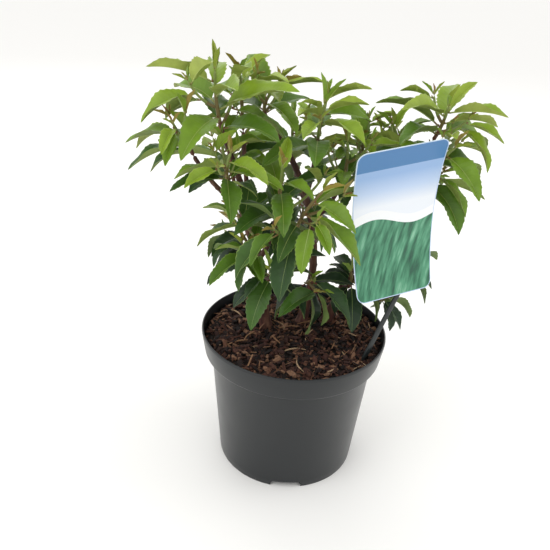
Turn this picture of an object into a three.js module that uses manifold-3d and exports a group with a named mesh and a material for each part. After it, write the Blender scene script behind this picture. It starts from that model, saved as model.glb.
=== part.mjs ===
// A potted portuguese laurel: a young evergreen shrub of three stems in a round nursery pot, with its
// plant label on a stake. Millimetres, +Z up, the origin in the middle of the pot's flat foot.
import * as THREE from 'three';
import { mergeVertices } from 'three/addons/utils/BufferGeometryUtils.js';
import Module from 'manifold-3d';

// The pot: a plain round nursery pot with a raised collar
const POT_HEIGHT = 150;
const RIM_RADIUS = 94;
const COLLAR_RADIUS = 90.5;
const COLLAR_HEIGHT = 25;
const WALL_TOP_RADIUS = 83.5;
const BASE_RADIUS = 72.6;
const POT_WALL = 1.6;
const FLOOR_LIFT = 7;
const PAD_RADIUS = 30;
const FOOT_RING_WIDTH = 6;
const POT_SIDES = 32;
const DRAIN_NOTCHES = 3;
const NOTCH_WIDTH = 31;
const NOTCH_HEIGHT = 6.5;
const FRONT_NOTCH_TURN = -89;
const DRAIN_SLOTS = 8;
const SLOT_LENGTH = 22;
const SLOT_WIDTH = 6;
const SLOT_CENTRE = 48;

// The compost that fills it
const SOIL_LEVEL = 140;
const SOIL_EDGE_FALL = 3;
const SOIL_EDGE_WIDTH = 5;
const SOIL_SPREAD = 1.4;

// The gap that two touching pieces keep
const GAP = 0.3;

// The three stems: foot on the compost, bend and tip, with the radius at each end
const STEMS = [
  { name: 'left', foot: [-30, 12], bend: [-34, -2, 240], tip: [-73, -12, 342], thick: 5.0, thin: 2.3 },
  { name: 'centre', foot: [8, 25], bend: [36, 22, 262], tip: [-38, 23, 354], thick: 4.4, thin: 2.3 },
  { name: 'right', foot: [35, 30], bend: [62, 12, 245], tip: [112, 10, 347], thick: 4.6, thin: 2.3 },
];
const ROOT_FLARE = 3.2;
const FLARE_HEIGHT = 9;
const STEM_SIDES = 8;
const BOUGH_SIDES = 5;
const BOUGH_SHARE = 0.76;
const BOUGH_TAPER = 0.75;
const BOUGH_RISE = 0.3;
const BOUGH_BEND = 0.6;
const STEM_STEPS = 8;
const BOUGH_STEPS = 4;
const TWIG_STEPS = 3;
const FLARE_CURVE = 1.5;

// The masses of foliage: the stem that bears the bough and how far up it (1 is the stem's own tip), the
// heart where the bough ends and the leafy shoot starts, the shoot's tip, its leaves, the longest leaf,
// the compass turn of the first leaf, how far old leaves sag, and the seed of its small differences
const MASSES = [
  { name: 'top_left', stem: 'left', at: 1, tip: [-82, -18, 402],
    leaves: 9, longest: 76, turn: 300, sag: 0, seed: 3 },
  { name: 'top_centre', stem: 'centre', at: 1, tip: [-30, 18, 386],
    leaves: 8, longest: 64, turn: 300, sag: 0, seed: 5 },
  { name: 'top_right', stem: 'right', at: 1, tip: [118, 0, 380],
    leaves: 8, longest: 68, turn: 240, sag: 0, seed: 7 },
  { name: 'upper_left', stem: 'left', at: 0.58, heart: [-60, 24, 342], tip: [-64, 14, 396],
    leaves: 9, longest: 56, turn: 180, sag: 0, seed: 11 },
  { name: 'upper_middle', stem: 'centre', at: 0.63, heart: [7, 0, 332], tip: [11, -6, 378],
    leaves: 8, longest: 66, turn: 180, sag: 0, seed: 16 },
  { name: 'outer_left', stem: 'left', at: 0.68, heart: [-99, -25, 330], tip: [-104, -35, 368],
    leaves: 8, longest: 68, turn: 60, sag: 0, seed: 17 },
  { name: 'upper_right', stem: 'right', at: 0.42, heart: [55, 40, 312], tip: [50, 24, 344],
    leaves: 7, longest: 60, turn: 180, sag: 0, seed: 31 },
  { name: 'right_shoulder', stem: 'right', at: 0.7, heart: [88, 36, 322], tip: [78, 34, 354],
    leaves: 6, longest: 58, turn: 0, sag: 0, seed: 23 },
  { name: 'front_left', stem: 'left', at: 0.75, heart: [-66, -32, 306], tip: [-64, -56, 344],
    leaves: 7, longest: 60, turn: 0, sag: 8, seed: 29 },
  { name: 'front_centre', stem: 'left', at: 0.42, heart: [-28, -18, 258], tip: [-22, -55, 338],
    leaves: 9, longest: 62, turn: 300, sag: 5, seed: 31 },
  { name: 'front_middle', stem: 'centre', at: 0.42, heart: [-4, -32, 264], tip: [14, -68, 322],
    leaves: 8, longest: 76, turn: 120, sag: 5, seed: 37 },
  { name: 'mid_right', stem: 'centre', at: 0.52, heart: [32, 2, 300], tip: [34, -6, 346],
    leaves: 8, longest: 62, turn: 120, sag: 5, seed: 59 },
  { name: 'outer_right', stem: 'right', at: 0.84, heart: [112, 0, 326], tip: [126, -14, 348],
    leaves: 6, longest: 68, turn: 300, sag: 5, seed: 43 },
  { name: 'side_right', stem: 'right', at: 0.6, heart: [108, 26, 290], tip: [126, 6, 320],
    leaves: 7, longest: 66, turn: 0, sag: 4, seed: 47 },
  { name: 'low_right', stem: 'right', at: 0.36, heart: [80, 10, 212], tip: [98, 2, 236],
    leaves: 7, longest: 60, turn: 300, sag: 15, seed: 55 },
  { name: 'side_left', stem: 'left', at: 0.6, heart: [-42, -27, 240], tip: [-54, -44, 260],
    leaves: 7, longest: 54, turn: 60, sag: 4, seed: 59 },
  { name: 'mid_left', stem: 'left', at: 0.68, heart: [-51, -28, 272], tip: [-60, -43, 289],
    leaves: 6, longest: 60, turn: 240, sag: 6, seed: 73 },
  { name: 'low_left', stem: 'left', at: 0.33, heart: [-26, -20, 212], tip: [-28, -36, 230],
    leaves: 7, longest: 58, turn: 60, sag: 20, seed: 61 },
  { name: 'low_front', stem: 'centre', at: 0.24, heart: [10, -6, 204], tip: [12, -34, 222],
    leaves: 8, longest: 66, turn: 60, sag: 28, seed: 67 },
  { name: 'low_front_right', stem: 'right', at: 0.24, heart: [52, 4, 198], tip: [50, -12, 222],
    leaves: 7, longest: 58, turn: 60, sag: 28, seed: 71 },
  { name: 'low_side', stem: 'right', at: 0.29, heart: [77, -4, 190], tip: [89, -12, 204],
    leaves: 5, longest: 46, turn: 0, sag: 36, seed: 41 },
  { name: 'back_left', stem: 'left', at: 0.44, heart: [-68, 50, 278], tip: [-80, 66, 326],
    leaves: 11, longest: 66, turn: 240, sag: 5, seed: 79 },
  { name: 'back_centre', stem: 'centre', at: 0.56, heart: [-8, 66, 292], tip: [-14, 84, 346],
    leaves: 11, longest: 66, turn: 90, sag: 5, seed: 81 },
  { name: 'back_right', stem: 'right', at: 0.53, heart: [74, 66, 278], tip: [86, 86, 328],
    leaves: 11, longest: 66, turn: 50, sag: 5, seed: 83 },
  { name: 'low_back', stem: 'centre', at: 0.3, heart: [6, 62, 218], tip: [4, 92, 248],
    leaves: 9, longest: 62, turn: 90, sag: 20, seed: 113 },
  { name: 'low_back_left', stem: 'left', at: 0.24, heart: [-48, 36, 210], tip: [-66, 50, 236],
    leaves: 9, longest: 58, turn: 300, sag: 18, seed: 97 },
];

// The leafy shoots and their side twigs, with where along a shoot each begins, in shares of its length
const SHOOT_THICK = 1.9;
const SHOOT_THIN = 1.2;
const TWIG_THICK = 1.5;
const TWIG_THIN = 1.0;
const TWIG_SIDES = 3;
const SIDE_TWIGS = 2;
const SIDE_TWIG_LEAVES = 3;
const SIDE_TWIG_SIZE = 0.86;
const FIRST_TWIG = 0.2;
const NEXT_TWIG = 0.28;
const TWIG_TURN = 70;
const TWIG_STEP_TURN = 160;
const TWIG_EXTRA = 12;
const TWIG_LONG = 0.5;
const TWIG_SHORTER = 0.12;
const TWIG_PLACE_SPREAD = 0.1;
const TWIG_TURN_SPREAD = 40;
const TWIG_SAMPLES = 10;
const FIRST_LEAF = 0.12;
const FIRST_TWIG_LEAF = 0.3;
const LAST_LEAF = 0.96;

// How leaves stand, in degrees: full grown, by how much an opening leaf differs, and how much they vary
const LEAF_STEP_TURN = 137.5;
const TURN_SPREAD = 20;
const LEAN = 76;
const YOUNG_LEAN = -34;
const LEAN_SPREAD = 16;
const DROOP = 54;
const YOUNG_DROOP = -26;
const TWIST_SPREAD = 50;
const FOLD = 20;
const YOUNG_FOLD = 22;
const FOLD_SPREAD = 10;
const LENGTH_SPREAD = 0.16;
const DROOP_SPREAD = 0.6;

// The turns and sizes that a leaf tries, one after another, till it has room
const TRIES = [[0, 1], [28, 1], [-28, 1], [55, 0.9], [-55, 0.9], [80, 0.8], [-80, 0.8]];

// Youth along a shoot, from 0, full grown, to 1, just opened. A mass that sags far is an old one.
const YOUTH_AT_FOOT = 0.15;
const YOUTH_GAIN = 0.75;
const OLD_YOUTH_GAIN = 0.55;
const OLD_SAG = 14;
const YOUNG_HEIGHT = 330;

// The folded young leaves at each tip
const TIP_LEAVES = 2;
const TIP_ROOT = 0.94;
const TIP_LEAN = 12;
const TIP_DROOP = 10;
const TIP_SPREAD = 10;
const TIP_FOLD = 48;
const TIP_LENGTH = 20;
const TIP_LENGTH_SPREAD = 10;
const TIP_WIDTH = 0.22;
const TIP_STEP_TURN = 170;
const TIP_STATIONS = [0, 0.5];

// The leaf: lance-shaped, folded along its midrib, curved down under its own weight
const PETIOLE = 0.12;
const LEAF_WIDTH = 0.41;
const LEAF_SWELL = 0.65;
const LEAF_POINT = 0.95;
const LEAF_FULL = 2.946;
const LEAF_KEEL = 0.8;
const LEAF_ROOT = 0.6;
const LEAF_STATIONS = [0, 0.38, 0.72];
const SOLID_FOLD = 0.4;
const LEAF_CLEARANCE = 4.5;
const LIMB_CLEARANCE = 2.4;
const CARD_CLEARANCE = 7;
const STAKE_CLEARANCE = 6;
const SOIL_CLEARANCE = 6;
const RIM_CLEARANCE = 16;
const RIM_BAND = 11.5;
const REACH = 1.05;
const ROOT_ZONE = 0.2;
const SAMPLES_ALONG = 18;
const SAMPLES_ACROSS = 7;

// The plant label: a bowed card on a stake
const CARD_CENTRE = [83, -45, 284];
const CARD_WIDTH = 80;
const CARD_HEIGHT = 148;
const CARD_TAPER = 0.05;
const CARD_CORNER = 8;
const CARD_THICK = 0.8;
const CARD_BOW = 11.4;
const CARD_YAW = 21.5;
const CARD_TILT = -5;
const CARD_ROLL = 8;
const STAKE_FOOT = [66, -42.5];
const STAKE_WIDTH = 5.8;
const STAKE_THICK = 2.2;
const STAKE_HEAD = [0.55, -0.7];
const HEAD_WIDTH = 12;
const HEAD_HEIGHT = 24;

const wasm = await Module();
wasm.setup();

const radians = THREE.MathUtils.degToRad;
const vector = (values) => new THREE.Vector3(...values);

// A repeatable stream of numbers between 0 and 1
function dice(seed) {
  let state = seed * 7919;
  return () => {
    state = (state * 16807) % 2147483647;
    return state / 2147483647;
  };
}

// A solid from corner points and triangles, with its faces turned outwards
function solid(corners, triangles) {
  let volume = 0;
  for (let i = 0; i < triangles.length; i += 3) {
    const [a, b, c] = [corners[triangles[i]], corners[triangles[i + 1]], corners[triangles[i + 2]]];
    volume += a.dot(b.clone().cross(c));
  }
  const turned = volume < 0 ? triangles.slice().reverse() : triangles;
  const vertProperties = new Float32Array(corners.flatMap((corner) => corner.toArray()));
  const triVerts = new Uint32Array(turned);
  return new wasm.Manifold(new wasm.Mesh({ numProp: 3, vertProperties, triVerts }));
}

// A solid from one of three.js's closed geometries
function solidOf(geometry) {
  const bare = geometry.clone();
  bare.deleteAttribute('normal');
  bare.deleteAttribute('uv');
  const merged = mergeVertices(bare);
  const place = merged.getAttribute('position');
  const corners = [];
  for (let i = 0; i < place.count; i += 1) {
    corners.push(new THREE.Vector3().fromBufferAttribute(place, i));
  }
  const triangles = [];
  for (let i = 0; i < merged.index.count; i += 3) {
    const [a, b, c] = [merged.index.getX(i), merged.index.getX(i + 1), merged.index.getX(i + 2)];
    if (a !== b && b !== c && c !== a) {
      triangles.push(a, b, c);
    }
  }
  return solid(corners, triangles);
}

// The geometry of a finished solid
function geometryOf(manifold) {
  const mesh = manifold.getMesh();
  const geometry = new THREE.BufferGeometry();
  geometry.setAttribute('position', new THREE.BufferAttribute(new Float32Array(mesh.vertProperties), 3));
  geometry.setIndex(new THREE.BufferAttribute(new Uint32Array(mesh.triVerts), 1));
  geometry.computeVertexNormals();
  return geometry;
}

// Rings of corners, all with the same number, joined into a closed body with flat ends or a point
function loft(rings, point) {
  const sides = rings[0].length;
  const corners = rings.flat();
  const triangles = [];
  for (let r = 0; r + 1 < rings.length; r += 1) {
    for (let k = 0; k < sides; k += 1) {
      const a = r * sides + k;
      const b = r * sides + (k + 1) % sides;
      triangles.push(a, b, b + sides, a, b + sides, a + sides);
    }
  }
  for (let k = 1; k + 1 < sides; k += 1) {
    triangles.push(0, k + 1, k);
  }
  const last = (rings.length - 1) * sides;
  if (point) {
    corners.push(point);
    for (let k = 0; k < sides; k += 1) {
      triangles.push(last + k, last + (k + 1) % sides, corners.length - 1);
    }
  } else {
    for (let k = 1; k + 1 < sides; k += 1) {
      triangles.push(last, last + k, last + k + 1);
    }
  }
  return solid(corners, triangles);
}

// Limbs are curves of three points: where they start, where they bend and where they end
function pointOn(curve, t) {
  const u = 1 - t;
  return curve[0].clone().multiplyScalar(u * u)
    .addScaledVector(curve[1], 2 * u * t)
    .addScaledVector(curve[2], t * t);
}

function slopeOn(curve, t) {
  return curve[1].clone().sub(curve[0]).multiplyScalar(1 - t)
    .addScaledVector(curve[2].clone().sub(curve[1]), t)
    .normalize();
}

// Two directions square to a slope, the first as near to +X as it can be
function acrossOf(slope) {
  const first = new THREE.Vector3(1, 0, 0).addScaledVector(slope, -slope.x).normalize();
  return [first, slope.clone().cross(first)];
}

function ring(centre, slope, radius, sides) {
  const [first, second] = acrossOf(slope);
  const corners = [];
  for (let k = 0; k < sides; k += 1) {
    const turn = (2 * Math.PI * k) / sides;
    corners.push(centre.clone()
      .addScaledVector(first, radius * Math.cos(turn))
      .addScaledVector(second, radius * Math.sin(turn)));
  }
  return corners;
}

// A tapering limb. Extra thickness makes the tool that clears a joint on its flank.
function limbSolid(limb, extra = 0) {
  const rings = [];
  for (let i = 0; i <= limb.steps; i += 1) {
    const t = limb.flare ? (i / limb.steps) ** FLARE_CURVE : i / limb.steps;
    const slope = limb.flare && i === 0 ? new THREE.Vector3(0, 0, 1) : slopeOn(limb.curve, t);
    rings.push(ring(pointOn(limb.curve, t), slope, radiusOn(limb, t) + extra, limb.sides));
  }
  return loft(rings);
}

function radiusOn(limb, t) {
  const height = pointOn(limb.curve, t).z - limb.curve[0].z;
  const flare = limb.flare ? ROOT_FLARE * Math.exp(-height / FLARE_HEIGHT) : 0;
  return limb.thick + (limb.thin - limb.thick) * t + flare;
}

// The stems, and the boughs that rise from their flanks
const stems = new Map();
for (const { name, foot, bend, tip, thick, thin } of STEMS) {
  const curve = [vector([...foot, SOIL_LEVEL + GAP]), vector(bend), vector(tip)];
  const shape = { sides: STEM_SIDES, steps: STEM_STEPS, flare: true };
  stems.set(name, { name: `stem_${name}`, curve, thick, thin, ...shape });
}

const boughs = [];
for (const mass of MASSES) {
  const stem = stems.get(mass.stem);
  let limb = stem;
  if (mass.at < 1) {
    const start = pointOn(stem.curve, mass.at);
    const end = vector(mass.heart);
    const bend = start.clone().lerp(end, BOUGH_BEND);
    bend.z = start.z + (end.z - start.z) * BOUGH_RISE;
    const thick = BOUGH_SHARE * radiusOn(stem, mass.at);
    limb = {
      name: `bough_${mass.name}`, curve: [start, bend, end], thick, thin: thick * BOUGH_TAPER,
      sides: BOUGH_SIDES, steps: BOUGH_STEPS, flare: false, parent: stem,
    };
    boughs.push(limb);
  }
  mass.slope = slopeOn(limb.curve, 1);
  mass.start = pointOn(limb.curve, 1).addScaledVector(mass.slope, GAP);
}

// A point of a leaf: t from the foot of its stalk to its tip, side from -1 to 1 across the blade
function leafFrame(leaf, t) {
  const blade = 1 - PETIOLE;
  const q = Math.max(0, (t - PETIOLE) / blade);
  const stalk = Math.min(t, PETIOLE);
  const pitch = leaf.pitch - leaf.droop * q;
  const out = stalk * Math.cos(leaf.pitch) + (blade * (Math.sin(leaf.pitch) - Math.sin(pitch))) / leaf.droop;
  const rise = stalk * Math.sin(leaf.pitch) + (blade * (Math.cos(pitch) - Math.cos(leaf.pitch))) / leaf.droop;
  const ahead = new THREE.Vector3(Math.cos(leaf.heading), Math.sin(leaf.heading), 0);
  const centre = leaf.root.clone().addScaledVector(ahead, out * leaf.length);
  centre.z += rise * leaf.length;
  const flat = new THREE.Vector3(-Math.sin(leaf.heading), Math.cos(leaf.heading), 0);
  const above = ahead.clone().multiplyScalar(-Math.sin(pitch));
  above.z = Math.cos(pitch);
  const side = flat.clone().multiplyScalar(Math.cos(leaf.roll)).addScaledVector(above, Math.sin(leaf.roll));
  const up = above.clone().multiplyScalar(Math.cos(leaf.roll)).addScaledVector(flat, -Math.sin(leaf.roll));
  const outline = LEAF_FULL * q ** LEAF_SWELL * Math.max(0, 1 - q) ** LEAF_POINT;
  const half = leaf.width * leaf.length * 0.5 * outline;
  return { centre, side, up, half };
}

function leafPoint(leaf, t, side) {
  const frame = leafFrame(leaf, t);
  return frame.centre
    .addScaledVector(frame.side, side * frame.half * Math.cos(leaf.fold))
    .addScaledVector(frame.up, Math.abs(side) * frame.half * Math.sin(leaf.fold));
}

// The leaf's solid: a root sunk in the twig and a blade that is flat above and keeled along its midrib
function leafSolid(leaf) {
  const rings = leaf.stations.map((t) => {
    const { centre, side, up, half } = leafFrame(leaf, t);
    const reach = t > 0 ? half * Math.cos(leaf.fold) : LEAF_ROOT;
    const lift = t > 0 ? half * Math.sin(leaf.fold) * SOLID_FOLD : LEAF_ROOT / 2;
    return [
      centre.clone().addScaledVector(side, reach).addScaledVector(up, lift),
      centre.clone().addScaledVector(side, -reach).addScaledVector(up, lift),
      centre.clone().addScaledVector(up, -LEAF_KEEL),
    ];
  });
  return loft(rings, leafFrame(leaf, 1).centre);
}

// What is already there, as points that each keep a clear distance
const taken = [];

function take(point, clear, owner, t = 0) {
  taken.push({ x: point.x, y: point.y, z: point.z, clear, owner, t });
}

function takeLimb(limb, owner) {
  const count = Math.ceil(limb.curve[0].distanceTo(limb.curve[2]) / 3);
  for (let i = 0; i <= count; i += 1) {
    take(pointOn(limb.curve, i / count), radiusOn(limb, i / count) + LIMB_CLEARANCE, owner);
  }
}

// The points of a leaf that are tested, with how far out on it each one lies
function leafSamples(leaf) {
  const samples = [];
  for (let i = 1; i <= SAMPLES_ALONG; i += 1) {
    for (let k = 0; k < SAMPLES_ACROSS; k += 1) {
      const side = (2 * k) / (SAMPLES_ACROSS - 1) - 1;
      samples.push({ point: leafPoint(leaf, i / SAMPLES_ALONG, side), t: i / SAMPLES_ALONG });
    }
  }
  return samples;
}

function takeLeaf(samples, mass) {
  samples.forEach(({ point, t }) => take(point, LEAF_CLEARANCE, mass.name, t));
}

// A piece may stay where it keeps to its mass's space and clear of all that is there
function mayStay(samples, mass) {
  const box = new THREE.Box3().setFromPoints(samples.map((sample) => sample.point)).expandByScalar(12);
  const near = taken.filter((other) => box.containsPoint(other));
  for (const { point, t } of samples) {
    const overRim = Math.hypot(point.x, point.y) > RIM_RADIUS - RIM_BAND;
    if (point.z < SOIL_LEVEL + (overRim ? RIM_CLEARANCE : SOIL_CLEARANCE)) {
      return false;
    }
    if (mass.core.closestPointToPoint(point, true, new THREE.Vector3()).distanceTo(point) > mass.reach) {
      return false;
    }
    for (const other of near) {
      const own = other.owner === mass.name && t < ROOT_ZONE && other.t < ROOT_ZONE;
      if (!own && Math.hypot(point.x - other.x, point.y - other.y, point.z - other.z) < other.clear) {
        return false;
      }
    }
  }
  return true;
}

// One leaf on a shoot, at share s of its length. Where it has no room it turns aside, and is smaller.
function leafOn(shoot, s, turn, youth, longest, mass, roll) {
  const slope = slopeOn(shoot.curve, s);
  const [first, second] = acrossOf(slope);
  const lean = radians(LEAN + YOUNG_LEAN * youth * youth + LEAN_SPREAD * (roll() - 0.5));
  const length = longest * (0.76 + youth - 1.3 * youth * youth) * (1 + LENGTH_SPREAD * (roll() - 0.5));
  const droop = radians((DROOP + YOUNG_DROOP * youth) * (1 + DROOP_SPREAD * (roll() - 0.5)));
  const twist = radians(TWIST_SPREAD * (roll() - 0.5));
  const fold = radians(FOLD + YOUNG_FOLD * youth + FOLD_SPREAD * roll());
  const sag = radians(mass.sag * (1 - youth));
  for (const [more, size] of TRIES) {
    const angle = radians(turn + more);
    const direction = slope.clone().multiplyScalar(Math.cos(lean))
      .addScaledVector(first, Math.sin(lean) * Math.cos(angle))
      .addScaledVector(second, Math.sin(lean) * Math.sin(angle));
    const leaf = {
      root: pointOn(shoot.curve, s),
      heading: Math.atan2(direction.y, direction.x),
      pitch: Math.asin(direction.z) - sag,
      droop,
      roll: twist,
      fold,
      length: length * size,
      width: LEAF_WIDTH,
      stations: LEAF_STATIONS,
    };
    const samples = leafSamples(leaf);
    if (mayStay(samples, mass)) {
      takeLeaf(samples, mass);
      return leaf;
    }
  }
  return null;
}

// The folded young leaves that stand up at a shoot's tip
function tipLeaves(shoot, turn, roll) {
  const slope = slopeOn(shoot.curve, 1);
  const [first, second] = acrossOf(slope);
  const leaves = [];
  for (let i = 0; i < TIP_LEAVES; i += 1) {
    const lean = radians(TIP_LEAN + TIP_SPREAD * roll());
    const angle = radians(turn + TIP_STEP_TURN * i);
    const direction = slope.clone().multiplyScalar(Math.cos(lean))
      .addScaledVector(first, Math.sin(lean) * Math.cos(angle))
      .addScaledVector(second, Math.sin(lean) * Math.sin(angle));
    leaves.push({
      root: pointOn(shoot.curve, TIP_ROOT),
      heading: Math.atan2(direction.y, direction.x),
      pitch: Math.asin(direction.z),
      droop: radians(TIP_DROOP + TIP_SPREAD * roll()),
      roll: 0,
      fold: radians(TIP_FOLD),
      length: TIP_LENGTH + TIP_LENGTH_SPREAD * roll(),
      width: TIP_WIDTH,
      stations: TIP_STATIONS,
    });
  }
  return leaves;
}

function shootOf(start, bend, end, thick, thin) {
  return { curve: [start, bend, end], thick, thin, sides: TWIG_SIDES, steps: TWIG_STEPS, flare: false };
}

// A side twig leaves its shoot at share s, swings out to its own side and then turns up
function sideTwig(shoot, s, turn, long) {
  const slope = slopeOn(shoot.curve, s);
  const [first, second] = acrossOf(slope);
  const aside = first.multiplyScalar(Math.cos(turn)).addScaledVector(second, Math.sin(turn));
  const start = pointOn(shoot.curve, s);
  const bend = start.clone().addScaledVector(aside, long * 0.45).addScaledVector(slope, long * 0.25);
  const end = bend.clone().addScaledVector(slope, long * 0.4).addScaledVector(aside, long * 0.2);
  end.z += long * 0.15;
  return shootOf(start, bend, end, TWIG_THICK, TWIG_THIN);
}

// A mass grows its shoot, then side twigs by the same rule, then the leaves of each
function growMass(mass) {
  const roll = dice(mass.seed);
  const pieces = [mass.shoot];
  const leaves = [...mass.tipLeaves];
  const bearers = [{
    shoot: mass.shoot, count: mass.leaves, longest: mass.longest, turn: mass.turn, from: FIRST_LEAF,
  }];
  for (let j = 0; j < SIDE_TWIGS; j += 1) {
    const s = FIRST_TWIG + NEXT_TWIG * j + TWIG_PLACE_SPREAD * roll();
    const away = mass.turn + TWIG_TURN + TWIG_STEP_TURN * j;
    const long = (TWIG_LONG - TWIG_SHORTER * j) * mass.start.distanceTo(mass.end) + TWIG_EXTRA;
    const twig = sideTwig(mass.shoot, s, radians(away + TWIG_TURN_SPREAD * roll()), long);
    const samples = [];
    for (let i = 0; i <= TWIG_SAMPLES; i += 1) {
      samples.push({ point: pointOn(twig.curve, i / TWIG_SAMPLES), t: i / TWIG_SAMPLES });
    }
    if (mayStay(samples, mass)) {
      takeLimb(twig, mass.name);
      pieces.push(twig);
      bearers.push({
        shoot: twig, count: SIDE_TWIG_LEAVES, longest: mass.longest * SIDE_TWIG_SIZE,
        turn: (away + 360 * roll()) % 360, from: FIRST_TWIG_LEAF,
      });
    }
  }
  const [atFoot, gain] = mass.sag > OLD_SAG ? [0, OLD_YOUTH_GAIN] : [YOUTH_AT_FOOT, YOUTH_GAIN];
  for (const { shoot, count, longest, turn, from } of bearers) {
    for (let i = 0; i < count; i += 1) {
      const share = (i + 0.5) / count;
      const facing = turn + LEAF_STEP_TURN * i + TURN_SPREAD * (roll() - 0.5);
      const s = from + (LAST_LEAF - from) * share;
      const leaf = leafOn(shoot, s, facing, atFoot + gain * share, longest, mass, roll);
      if (leaf) {
        leaves.push(leaf);
      }
    }
  }
  return { pieces, leaves };
}

// The label card's own frame: across, up and out of its printed face
function cardFrame() {
  const [yaw, tilt, roll] = [CARD_YAW, CARD_TILT, CARD_ROLL].map(radians);
  const level = new THREE.Vector3(Math.cos(yaw), Math.sin(yaw), 0);
  const facing = new THREE.Vector3(Math.sin(yaw), -Math.cos(yaw), 0);
  const rise = new THREE.Vector3(0, 0, Math.cos(tilt)).addScaledVector(facing, -Math.sin(tilt));
  const out = facing.clone().multiplyScalar(Math.cos(tilt));
  out.z += Math.sin(tilt);
  const across = level.clone().multiplyScalar(Math.cos(roll)).addScaledVector(rise, Math.sin(roll));
  const up = rise.clone().multiplyScalar(Math.cos(roll)).addScaledVector(level, -Math.sin(roll));
  return { across, up, out };
}

// A point of the card: side and height from -1 to 1, depth in millimetres from its middle layer
function cardPoint(side, height, depth) {
  const { across, up, out } = cardFrame();
  return vector(CARD_CENTRE)
    .addScaledVector(across, side * (CARD_WIDTH / 2) * (1 + CARD_TAPER * height))
    .addScaledVector(up, (height * CARD_HEIGHT) / 2)
    .addScaledVector(out, depth - CARD_BOW * (1 - height * height));
}

// The card's rows from bottom to top, closer together at the rounded corners
function cardRows() {
  const corner = CARD_CORNER / (CARD_HEIGHT / 2);
  const rows = [];
  for (const step of [0, 0.5, 1]) {
    const turn = (step * Math.PI) / 2;
    rows.push({
      height: -1 + corner * (1 - Math.cos(turn)),
      side: 1 - (CARD_CORNER / (CARD_WIDTH / 2)) * (1 - Math.sin(turn)),
    });
  }
  for (const height of [-0.6, -0.3, 0, 0.3, 0.6]) {
    rows.push({ height, side: 1 });
  }
  return [...rows, ...rows.slice(0, 3).reverse().map(({ height, side }) => ({ height: -height, side }))];
}

function cardSolid() {
  const half = CARD_THICK / 2;
  return loft(cardRows().map(({ height, side }) => [
    cardPoint(-side, height, half), cardPoint(side, height, half),
    cardPoint(side, height, -half), cardPoint(-side, height, -half),
  ]));
}

// The stake: a flat bar from the compost to a small plate that backs the card
function stakeSolid() {
  const [side, height] = STAKE_HEAD;
  const front = -(CARD_THICK / 2 + GAP);
  const half = HEAD_WIDTH / CARD_WIDTH;
  const plateRing = (level) => [
    cardPoint(side - half, level, front), cardPoint(side + half, level, front),
    cardPoint(side + half, level, front - STAKE_THICK), cardPoint(side - half, level, front - STAKE_THICK),
  ];
  const rise = HEAD_HEIGHT / CARD_HEIGHT;
  const head = loft([plateRing(height - rise), plateRing(height), plateRing(height + rise)]);
  const top = cardPoint(side, height, front - STAKE_THICK * 0.6);
  const foot = vector([...STAKE_FOOT, SOIL_LEVEL + GAP]);
  const { across } = cardFrame();
  const lengthwise = top.clone().sub(foot).normalize();
  const out = across.clone().cross(lengthwise).normalize();
  const barRing = (centre) => [[-1, -1], [1, -1], [1, 1], [-1, 1]].map(([x, y]) => centre.clone()
    .addScaledVector(across, (x * STAKE_WIDTH) / 2)
    .addScaledVector(out, (y * STAKE_THICK) / 3));
  const footRing = barRing(foot).map((corner) => corner.setZ(foot.z));
  return loft([footRing, barRing(top)]).add(head);
}

// The pot: one thin wall turned round its axis, with slots and notches that drain it
function potSolid() {
  const collarFoot = POT_HEIGHT - COLLAR_HEIGHT;
  const ringInner = BASE_RADIUS - FOOT_RING_WIDTH;
  const underside = [
    [0, 0], [PAD_RADIUS, 0], [PAD_RADIUS + 3, FLOOR_LIFT], [ringInner - 3, FLOOR_LIFT], [ringInner, 0],
    [BASE_RADIUS - 0.8, 0], [BASE_RADIUS, 1],
  ];
  const outside = [
    [WALL_TOP_RADIUS, collarFoot - 1], [COLLAR_RADIUS, collarFoot], [RIM_RADIUS, POT_HEIGHT - 2.5],
    [RIM_RADIUS - 0.8, POT_HEIGHT], [RIM_RADIUS - POT_WALL, POT_HEIGHT],
  ];
  const inside = [
    [COLLAR_RADIUS - POT_WALL, collarFoot + POT_WALL], [WALL_TOP_RADIUS - POT_WALL, collarFoot],
    [BASE_RADIUS - POT_WALL, FLOOR_LIFT + POT_WALL], [0, FLOOR_LIFT + POT_WALL],
  ];
  const profile = [...underside, ...outside, ...inside].map(([radius, z]) => new THREE.Vector2(radius, z));
  const turned = new THREE.LatheGeometry(profile, POT_SIDES).rotateX(Math.PI / 2);
  let pot = solidOf(turned);
  for (let i = 0; i < DRAIN_NOTCHES; i += 1) {
    const notch = new THREE.BoxGeometry(FOOT_RING_WIDTH * 2 + 6, NOTCH_WIDTH, NOTCH_HEIGHT * 2)
      .translate(BASE_RADIUS + 1.5, 0, 0)
      .rotateZ(radians(FRONT_NOTCH_TURN + (360 / DRAIN_NOTCHES) * i));
    pot = pot.subtract(solidOf(notch));
  }
  for (let i = 0; i < DRAIN_SLOTS; i += 1) {
    const slot = new THREE.BoxGeometry(SLOT_LENGTH, SLOT_WIDTH, FLOOR_LIFT * 4)
      .translate(SLOT_CENTRE, 0, 0)
      .rotateZ(radians((360 / DRAIN_SLOTS) * (i + 0.5)));
    pot = pot.subtract(solidOf(slot));
  }
  return pot;
}

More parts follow.
